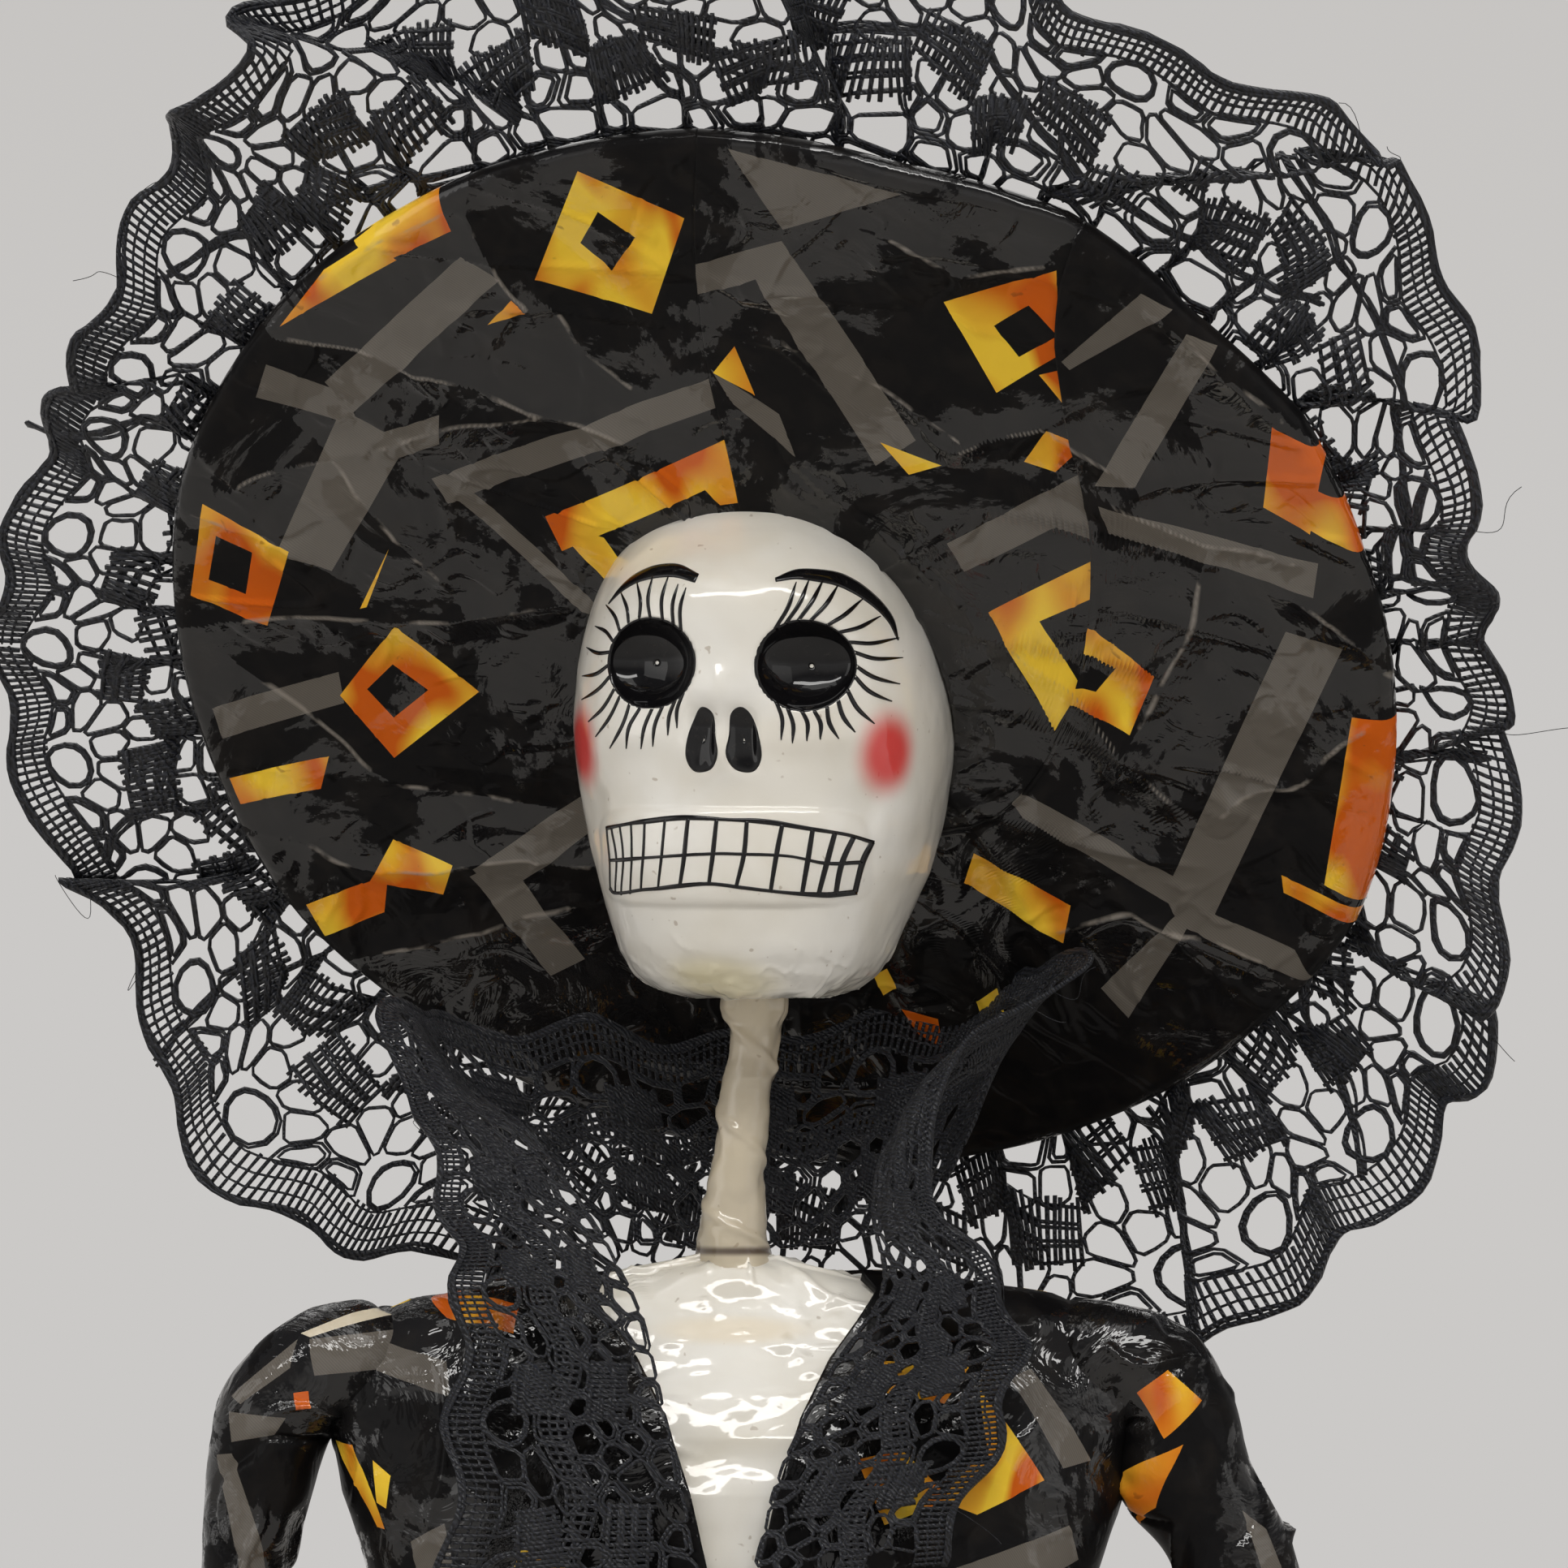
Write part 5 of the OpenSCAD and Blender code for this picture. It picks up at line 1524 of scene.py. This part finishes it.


# Round the neck's foot, a dark ring of brown paper in the gap with painted shade of the gap, and below it a
# yellowed edge of film: place, reach, colour, strength
CHEST_GAP_SHADE_AND_FILM = [((0, -3.5, 312.4), (6.2, 5.0, 0.7), rgb(70, 52, 38), 0.95),
               ((0, -6.5, 305), (12, 6, 2.2), rgb(232, 214, 180), 0.6)]


CHEST_FOOT = 252
CHEST_TOP = 313.9
RIB_PITCH = 8.6
# The ivory chest lies this far inside the bodice
CHEST_INSET = -1.3


def make_chest():
    """The ivory chest, with faint ribs in front and wrinkled film at the neck's foot."""
    a = np.linspace(0, 2 * math.pi, 260, endpoint=False)[None, :]
    z = np.linspace(CHEST_FOOT, CHEST_TOP, 230)[:, None]
    front = np.clip(-np.sin(a), 0, 1) * (z < 309)
    ribs = np.abs(np.cos(math.pi * (z + 2.0 * np.abs(np.cos(a))) / RIB_PITCH)) ** 5 * ease(z, 306, 300)
    a, z = np.broadcast_arrays(a, z)
    base = torso_at(a, z, CHEST_INSET)
    high = -0.16 * ribs * front ** 0.5 + 0.45 * rough(base, 9, 101) + 0.5 * creases(base, 9, 103, 0.07)
    film = creases(np.stack([a * 9, z * 0.5], -1), 4.5, 105, 0.12) + 0.6 * creases(base, 4, 107, 0.10)
    high = high + 0.8 * ease(z, 297, 309) * film
    # Its marks paint the shade in the gap at the neck's foot and a yellowed film edge.
    lacquer = white_lacquer("chest_lacquer", CHEST_GAP_SHADE_AND_FILM, 0.3, crumple=0.0009)
    chest = closed_stack("chest_shell", torso_at(a, z, CHEST_INSET + high), lacquer)
    return own(chest, "white_lacquer", "rib_cage")


NECK_PATH = [[0, 0, 311.2], [0, 0.1, 313.5], [0.1, 0.2, 318], [0.9, 0.7, 326], [1.9, 1.4, 334],
             [2.3, 1.8, 339.2], [2.35, 1.85, 340.2]]
# The dark ring at the neck's foot: brown paper in the gap, with painted shade of the gap
NECK_GAP_PAPER_AND_SHADE = [((0, 0, 313.2), (9, 9, 0.8), rgb(70, 50, 34), 1.0)]
NECK_RADII = [4.3, 3.7, 3.15, 2.7, 2.5, 2.75, 2.3]


NECK_IVORY = rgb(204, 192, 172)


def make_neck():
    """The thin neck, wound with a strip of paper that ends in a ragged edge under the skull."""
    count, sides = 190, 72
    path = spline(NECK_PATH, count)
    t = np.linspace(0, len(NECK_PATH) - 1, count)
    radius = curve(t, np.arange(len(NECK_PATH)), NECK_RADII)[:, None]
    a = np.linspace(0, 2 * math.pi, sides, endpoint=False)[None, :]
    z = path[:, 2][:, None]
    wrap = np.exp(-((np.mod(a / (2 * math.pi) + z / 9.5, 1) - 0.5) / 0.06) ** 2)
    rings = tube_rings(path, radius + 0 * a, sides)
    lumps = 0.30 * wrap + 0.26 * rough(rings, 4.0, 111) + 0.36 * creases(rings, 6, 112, 0.09)
    lumps = lumps + 0.2 * planes(rings, 5, 115)
    ragged = ease(z, 336.5, 338.6) * (0.55 + 0.5 * noise(spoke(a + 0 * z) * 4, 1.5, 113))
    rings = tube_rings(path, radius + lumps + ragged, sides)
    # The neck's lacquer carries the painted shade of the gap at its foot.
    lacquer = white_lacquer("neck_lacquer", NECK_GAP_PAPER_AND_SHADE, 1.8, pale=NECK_IVORY, crumple=0.0009)
    return own(closed_stack("neck_shell", rings, lacquer), "white_lacquer", "neck")


make_chest()
make_neck()


# ---- bodice and sleeves ----

# The neckline: height, and half the width of the opening
NECKLINE = np.array([[262, 0], [275, 0.4], [280, 2.6], [288, 4.4], [296, 7], [302, 10], [306, 13],
                     [309, 15], [311, 13]], float)
BODICE_FOOT = 241.0
BODICE_TOP = 310.6
BODICE_PAPER_THICK = 0.9
# Angle left open at the side seams
SEAM_GAP = 0.012


def front_uv(base):
    """The print runs flat across the front and on round the sides."""
    x, y, z = base[..., 0], base[..., 1], base[..., 2]
    return np.stack([x + np.sign(x) * (y + table(z, TORSO, 2)), z], -1)


def back_uv(base):
    """The same from behind, with the print moved along a little."""
    x, y, z = base[..., 0], base[..., 1], base[..., 2]
    return np.stack([9 - x - np.sign(x) * (table(z, TORSO, 2) - y), z + 5], -1)


def round_front(motifs):
    """Motifs given as seen from the front, with their corners moved to lie round the torso."""
    def wrapped(corners):
        corners = np.array(corners, float)
        x, z = corners[:, 0], corners[:, 1]
        half, deep = table(z, TORSO, 1), table(z, TORSO, 2)
        back = deep * (1 - np.sqrt(np.clip(1 - (x / half) ** 2, 0, 1)))
        return np.stack([x + np.sign(x) * back, z], -1).tolist()
    return [(ink, wrapped(corners), wrapped(hole) if hole else None) for ink, corners, hole in motifs]


# The print on the bodice's front: across from the middle and up from the ground, as seen from the front
BODICE_PRINT = round_front([
    gold((25.6, 298.6), (28, 295.8), (32.2, 289.4), (27, 288)),
    gold((24.6, 291.4), (32.2, 289.4), (25.2, 286), (21.6, 287.4)),
    gold((14, 301.8), (24.6, 301), (22, 297.4), (15, 298.6)),
    gold((12.8, 291.6), (17.4, 292.8), (22.4, 287.6), (15.6, 285)),
    gold((-41.3, 293.4), (-39.4, 293), (-36.4, 284.2), (-37.2, 284.4)),
    gold((-37.5, 291.4), (-35.7, 289.8), (-36.2, 286.4), (-37.2, 287)),
    gold((-33, 309.5), (-22.4, 307.4), (-23, 304.4), (-30, 306)),
    gold((-22, 282.4), (-17.6, 281.6), (-16, 276), (-24, 277)),
    gold((26, 268), (34, 264), (31, 254), (23, 259),
         hole=[(27, 264.6), (30.6, 262.6), (29.4, 257.6), (26, 260)]),
    gold((-28, 270), (-21, 265), (-23, 256), (-30, 260),
         hole=[(-27.2, 266), (-23.8, 263.4), (-25, 259), (-27.8, 261.4)]),
    gold((6, 256), (13, 252), (9, 244), (3, 248)),
    grey((28.8, 299.8), (31, 300.8), (37.2, 291.4), (34.2, 290.6)),
    grey((22, 280.2), (34.6, 284.8), (35.4, 281.2), (26, 276.6)),
    grey((-39, 304.6), (-30, 301.6), (-29.6, 298), (-38.4, 301)),
    grey((-33.6, 283), (-30, 285), (-27, 274), (-30.6, 272)),
    grey((-20, 276), (-16, 274), (-24, 256), (-28, 258)),
    grey((12, 272), (16, 274), (24, 256), (20, 253)),
])
# The print on the sleeves: across from the middle along the arm and up from the ground
SLEEVE_PRINT = [
    gold((42.2, 298.4), (45.6, 300.8), (49.4, 297.6), (45.4, 293.6)),
    gold((41.8, 290), (47.2, 293), (44.8, 286.3), (41.6, 284.4)),
    gold((-46.2, 298.4), (-44.6, 298.6), (-44.4, 296.8), (-46, 296.6)),
    gold((60, 262), (67, 257), (64, 249), (57, 254)),
    gold((-59, 262), (-53, 258), (-56, 250), (-62, 255)),
    gold((40, 224), (48, 220), (45, 213), (38, 217)),
    gold((-50, 222), (-43, 219), (-46, 212), (-52, 216)),
    grey((54, 286), (57, 284), (61, 270), (58, 270)),
    grey((48, 279), (52, 280), (58, 262), (54, 261)),
    grey((-45, 304), (-36, 305), (-36, 301), (-44, 300.2)),
    grey((-53.4, 298), (-46.5, 304), (-46.7, 301), (-51.9, 297.2)),
    grey((-53.4, 296.4), (-47, 295.8), (-48.2, 294), (-53, 293.2)),
    cream((-46.4, 304.6), (-36, 308.4), (-36, 306.8), (-45, 304.2)),
    grey((-55.4, 291.8), (-53, 292), (-44, 268), (-49, 268)),
    grey((-57, 266), (-53, 267), (-56, 248), (-60, 249)),
]
BODICE_PAPER = printed_paper("front_gift_paper", BODICE_PRINT, crumple=0.0014)
SLEEVE_PAPER = printed_paper("sleeve_gift_paper", SLEEVE_PRINT, crumple=0.0015)


def bodice_front_at(side):
    """One front of the bodice, 1 for the figure's left and -1 for its right, open along the neckline."""
    def at(u, v):
        z = mix(BODICE_FOOT, BODICE_TOP, np.clip(v, 0, 1))
        w = table(z, TORSO, 1)
        open_angle = np.arccos(np.clip(table(z, NECKLINE, 1) / w, 0, 1))
        a = mix(np.maximum(0.04, open_angle), SEAM_GAP, u)
        return torso_at(-a if side > 0 else math.pi + a, z, 0)
    return at


def bodice_back_at(u, v):
    z = mix(BODICE_FOOT, BODICE_TOP, np.clip(v, 0, 1))
    return torso_at(mix(SEAM_GAP, math.pi - SEAM_GAP, u), z, 0)


for side, node in ((1, "bodice_left_front"), (-1, "bodice_right_front")):
    crumpled_shell("paper_" + node, bodice_front_at(side), 150, 190, BODICE_PAPER_THICK, BODICE_PAPER, node,
                   high=0.75, uv=front_uv)
crumpled_shell("paper_bodice_back", bodice_back_at, 240, 170, BODICE_PAPER_THICK, GIFT_PAPER, "bodice_back",
               high=0.75, uv=back_uv)

# Middle lines of the upper and lower sleeves from the shoulder to the wrist, and their radii along them
ARM_LEFT = [[29, 0, 304], [37, 0, 302], [43.4, 0, 300.6], [47.2, 0, 296], [49.6, 0.3, 288.5],
            [52.9, 1, 279.7], [57.5, 3, 264], [63, 4.8, 249], [67.6, 6, 239]]
FORE_LEFT = [[67.6, 6, 239], [66.6, 4.6, 234.4], [60, -0.6, 228], [47, -10.2, 217.6], [34, -18.4, 207.4]]
ARM_RIGHT = [[-29, 0, 303.4], [-37.5, 0, 301.8], [-43.2, 0, 300.6], [-47.8, 0, 296.2], [-49.5, 0.3, 289],
             [-51.2, 1, 279.7], [-54.5, 3, 262], [-58, 5, 246], [-60.4, 6, 235.6]]
FORE_RIGHT = [[-60.4, 6, 235.6], [-59.4, 4.6, 231.2], [-54, -0.6, 225.4], [-44, -9.6, 215.6],
              [-33.4, -18, 205.4]]
ARM_LEFT_R = [2.2, 5.7, 5.8, 6.0, 5.9, 5.9, 5.4, 5.0, 4.8]
ARM_RIGHT_R = [2.2, 5.6, 5.4, 5.5, 5.3, 4.8, 4.7, 4.6, 4.6]
FORE_LEFT_R = [4.8, 4.9, 4.6, 4.2, 3.8]
FORE_RIGHT_R = [4.6, 4.7, 4.5, 4.1, 3.8]


def make_sleeve(part, path, radii, seed, armpit=None, web=0.0):
    """A tube of crumpled paper, flat between its folds. At the armpit's height it is drawn in by web."""
    count, sides = 190, 84
    t = np.linspace(0, len(path) - 1, count)
    line = spline(path, count)
    radius = curve(t, np.arange(len(path)), radii)[:, None] * np.ones((1, sides))
    rings = tube_rings(line, radius, sides)
    high = 1.4 * planes(rings, 12, seed) + 0.6 * planes(rings, 6, seed + 5)
    high = high + 0.9 * creases(rings, 9, seed + 9, 0.07) - 0.6 * creases(rings, 7, seed + 13, 0.08)
    if armpit:
        inward = np.clip(-np.sign(path[0][0]) * unit(rings - line[:, None])[..., 0], 0, 1)
        high = high + web * inward * np.exp(-((rings[..., 2] - armpit) / 6.0) ** 2)
    rings = tube_rings(line, radius + high, sides)
    away = rings - line[:, None]
    turn = np.arctan2(away[..., 0], -away[..., 1])
    uv = np.stack([line[:, :1] + 6 * turn, rings[..., 2]], -1)
    return own(closed_stack("paper_" + part, rings, SLEEVE_PAPER, uv), "printed_paper", part)


make_sleeve("sleeve_left_upper", ARM_LEFT, ARM_LEFT_R, 201, armpit=289.0, web=3.0)
make_sleeve("sleeve_left_lower", FORE_LEFT, FORE_LEFT_R, 221)
make_sleeve("sleeve_right_upper", ARM_RIGHT, ARM_RIGHT_R, 243)
make_sleeve("sleeve_right_lower", FORE_RIGHT, FORE_RIGHT_R, 263)


# ---- skirt ----

# Depth of the skirt's folds at the ground as a share of its radius, their number, and where they end
FOLD_DEPTH = 0.035
FOLDS = 12
FOLD_TOP = 200
WAIST_Z = 240.0
BAND_HIGH = 7
# Half of the angle that one gore covers, in degrees, a little over a quarter turn in all
GORE_HALF = 45.3
# The skirt: height, half width, half depth
SKIRT = np.array([[0, 59, 59], [12, 55.4, 55.3], [28, 50.5, 50], [55, 42.5, 41.5], [90, 35.6, 34],
                  [130, 31, 29], [170, 28.4, 25.4], [205, 26.6, 22], [225, 23.4, 18], [240, 20.2, 14.2]])


def skirt_at(a, z, out):
    """Point at angle a and height z, a distance out of the skirt's folded outline."""
    w, b = curve(z, SKIRT[:, 0], SKIRT[:, 1]), curve(z, SKIRT[:, 0], SKIRT[:, 2])
    fold = 1 + FOLD_DEPTH * (1 - np.minimum(z, FOLD_TOP) / FOLD_TOP) * np.cos(FOLDS * a)
    return np.stack([(w * fold + out) * np.cos(a), (b * fold + out) * np.sin(a), z], -1)


def skirt_uv(base):
    return np.stack([np.arctan2(base[..., 0], -base[..., 1]) * 42, base[..., 2]], -1)


for middle, node in ((-90, "skirt_front"), (0, "skirt_left"), (90, "skirt_back"), (180, "skirt_right")):
    def gore_at(u, v, middle=middle):
        a = np.radians(middle + mix(-GORE_HALF, GORE_HALF, u))
        return skirt_at(a, mix(0.5, WAIST_Z - 0.4, np.clip(v, 0, 1)), -0.9)
    crumpled_shell("paper_" + node, gore_at, 130, 300, 0.9, GIFT_PAPER, node, high=0.8, uv=skirt_uv)


def band_at(u, v):
    a = 2 * math.pi * u
    low, high = skirt_at(a, WAIST_Z + 0 * a, 0.7), torso_at(a, WAIST_Z + 4 + 0 * a, 0.7)
    line = mix(low, high, v[..., None])
    line[..., 2] = WAIST_Z - 3 + BAND_HIGH * v
    return line


def gold_paper(name):
    t = Tree(name)
    place = t.place()
    streak = t.noise(t.vector("MULTIPLY", place, (1.0, 1.0, 3.0)), 90.0, 3.0, 0.8)
    grain = t.noise(place, 700.0, 2.0)
    colour = t.blend(t.ramp(streak, 0.38, 0.62), GOLD_DARK, GOLD_LIGHT)
    return t.set(Base_Color=colour, Roughness=t.ramp(grain, 0.3, 0.7, 0.32, 0.45), Coat_Weight=1.0,
                 Coat_Roughness=0.06, Normal=t.bump(grain, 0.00006, 0.4),
                 Coat_Normal=t.bump(streak, 0.0006, 0.3))


crumpled_shell("gold_waist_band", band_at, 260, 26, 0.8, gold_paper("gold_paper"), "waist_band", True, 0.35)

HEM_LACE_LENGTH = SCALLOP * 24
HEM_LACE_WIDTH = 27.0
# Height of the hem lace's root, and how much of its width hangs straight down
HEM_LACE_TOP = 27.6
HEM_DROP = 0.985


def hem_lace_at(u, w):
    a = u / HEM_LACE_LENGTH * 2 * math.pi
    z = HEM_LACE_TOP - w * HEM_DROP
    wave = 0.9 * np.sin(20 * a) + 0.5 * noise(np.stack([u, w], -1), 8, 121)
    return skirt_at(a, np.maximum(z, 0.0), 1.3 + (w / HEM_LACE_WIDTH) * (1.6 + wave))


HEM_PETALS = [(4.3, 14.8, 7.4, 5.0, 2.4, 0.1), (12.4, 11.4, 7.4, 5.0, -2.4, -0.1)]
make_lace("hem_lace_strip", hem_lace_at, HEM_LACE_LENGTH, HEM_LACE_WIDTH, 0.6, 3.75, HEM_PETALS, "hem_lace",
          heavy=1.2, seed=7)


# ---- hands ----

PALM_L = 11.0
# Each hand: the wrist, the way its fingers point, the way to its thumb, and the side its palm faces
HANDS = {
    "left": (np.array(FORE_LEFT[-1]), np.array([-0.66, -0.12, -0.78]), np.array([-0.66, -0.30, 0.66]), 1),
    "right": (np.array(FORE_RIGHT[-1]), np.array([0.66, -0.12, -0.78]), np.array([0.66, -0.30, 0.66]), -1)}
# Each finger: where it starts across the palm, how far it spreads, and its length
FINGERS = {"index": (3.6, 2.0, 13.0), "middle": (1.2, 0.6, 14.4), "ring": (-1.2, -0.6, 13.4),
           "little": (-3.6, -2.0, 10.8)}
# A finger's radius at shares of its length: thick at the joints
BONE_AT = [0, 0.07, 0.26, 0.46, 0.62, 0.76, 1]
BONE_R = [1.05, 1.2, 0.85, 1.25, 0.85, 1.1, 0.4]
HAND_LACQUER = white_lacquer("hand_lacquer", warm=0.6)


def hand_at(hand, out, side, lift):
    """Point of a hand: out along the fingers, side towards the thumb, lift off the palm."""
    wrist, along, across, turn = HANDS[hand]
    along, across = unit(along), unit(across)
    face = unit(np.cross(along, across)) * turn
    flat = wrist + np.multiply.outer(out, along) + np.multiply.outer(side, across)
    return flat + np.multiply.outer(lift, face)


def bone(name, path, radii, node):
    """A round bone along a path, with a radius at each of its points."""
    count, sides = 60, 20
    line = spline(path, count)
    t = np.linspace(0, len(radii) - 1, count)
    rings = tube_rings(line, curve(t, np.arange(len(radii)), radii)[:, None] * np.ones((1, sides)), sides)
    rings = rings + 0.05 * noise(rings, 1.6, 131)[..., None]
    return own(closed_stack(name, rings, HAND_LACQUER), "white_lacquer", node)


def make_palm(hand):
    """A flat palm with four rays, widest at the knuckles."""
    t = np.linspace(0, 1, 70)[:, None]
    a = np.linspace(0, 2 * math.pi, 64, endpoint=False)[None, :]
    half = mix(2.2, 5.9, ease(t, 0.05, 0.9)) * np.sqrt(np.clip(1 - np.abs(2 * t - 1) ** 9, 0.02, 1))
    deep = mix(2.1, 1.4, t) * np.sqrt(np.clip(1 - np.abs(2 * t - 1) ** 7, 0.02, 1))
    rays = 0.25 * np.cos(2 * math.pi * half * np.cos(a) / 2.5) * ease(t, 0.3, 0.9) * np.sin(a)
    out = 0.1 + (PALM_L - 0.2) * t + 0 * a
    points = hand_at(hand, out, half * np.cos(a), deep * np.sin(a) + rays)
    return own(closed_stack(f"bony_palm_{hand}", points, HAND_LACQUER), "white_lacquer", f"palm_{hand}")


for hand in HANDS:
    make_palm(hand)
    share = np.array([0, 0.3, 0.5, 0.6, 0.8, 1])
    bone(f"bony_thumb_{hand}", hand_at(hand, 3.6 + 7 * share, 4.6 + 4.4 * share, -1.2 * share),
         [1.2, 1.1, 1.35, 1.1, 1.0, 0.45], f"thumb_{hand}")
    for finger, (start, spread, length) in FINGERS.items():
        share = np.array(BONE_AT)
        path = hand_at(hand, PALM_L + 0.2 + length * share, start + spread * share, -1.6 * share ** 2)
        bone(f"bony_{finger}_{hand}", path, BONE_R, f"{finger}_{hand}")


# ---- inner pieces that keep their CAD shape ----

INNER = [(CARD, ("base_board", "skirt_cone", "torso_core", "hat_brim_board", "hat_crown")),
         (STEEL, ("spine_wire", "arm_wire"))]
for material, nodes in INNER:
    for node in nodes:
        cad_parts[node].data.materials.clear()
        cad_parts[node].data.materials.append(material)


# ---- studio ----

FLOOR_HALF = 4800.0
FLOOR_Z = -0.5
FLOOR_SHADE = (200, 197, 193)
FLOOR_CORNERS = [[x * FLOOR_HALF, y * FLOOR_HALF, FLOOR_Z] for x, y in ((-1, -1), (1, -1), (1, 1), (-1, 1))]
floor = mesh_object("floor", FLOOR_CORNERS, [[0, 1, 2, 3]], studio_paper("floor_paper", FLOOR_SHADE))

SUBJECT = np.array([0.0, 0.0, 350.0])


def softbox(name, place, aim, size, watts):
    """A rectangular light at a place, turned to its aim. size is its width and height."""
    data = bpy.data.lights.new(name + "_softbox", "AREA")
    data.shape = "RECTANGLE"
    data.size, data.size_y = size[0] * MM, size[1] * MM
    data.energy = watts
    data.color = (1.0, 0.985, 0.96)
    lamp = bpy.data.objects.new(name + "_softbox", data)
    away = np.asarray(aim, float) - np.asarray(place, float)
    lamp.rotation_euler = Vector(tuple(away)).to_track_quat("-Z", "Y").to_euler()
    lamp.location = tuple(np.asarray(place, float) * MM)
    bpy.context.scene.collection.objects.link(lamp)


softbox("key", (60, -760, 1120), SUBJECT, (1500, 130), 6.6)
softbox("left", (-950, -420, 620), SUBJECT, (500, 700), 1.1)
softbox("right", (950, -420, 620), SUBJECT, (500, 700), 0.5)
softbox("floor", (0, -500, 1300), (0, -350, 0), (900, 700), 2.6)
softbox("top", (0, 1200, 2600), (0, 700, 0), (2600, 2200), 24.0)
softbox("back", (0, 1400, 1500), SUBJECT, (1200, 900), 5.0)
softbox("ceiling", (0, -850, 2900), SUBJECT, (1500, 900), 5.0)


def make_world():
    """A pale studio wall at eye level, darker above and below it."""
    world = bpy.data.worlds.new("studio")
    bpy.context.scene.world = world
    world.use_nodes = True
    tree = world.node_tree
    height = tree.nodes.new("ShaderNodeSeparateXYZ")
    tree.links.new(tree.nodes.new("ShaderNodeTexCoord").outputs["Generated"], height.inputs[0])
    ramp = tree.nodes.new("ShaderNodeValToRGB")
    tree.links.new(height.outputs["Z"], ramp.inputs["Fac"])
    stops = ramp.color_ramp.elements
    stops[0].position, stops[0].color = 0.0, WALL
    stops[1].position, stops[1].color = 0.42, rgb(96, 96, 98)
    middle = stops.new(0.16)
    middle.color = rgb(190, 187, 184)
    tree.links.new(ramp.outputs["Color"], tree.nodes["Background"].inputs["Color"])


make_world()
bpy.context.scene.view_settings.view_transform = "Standard"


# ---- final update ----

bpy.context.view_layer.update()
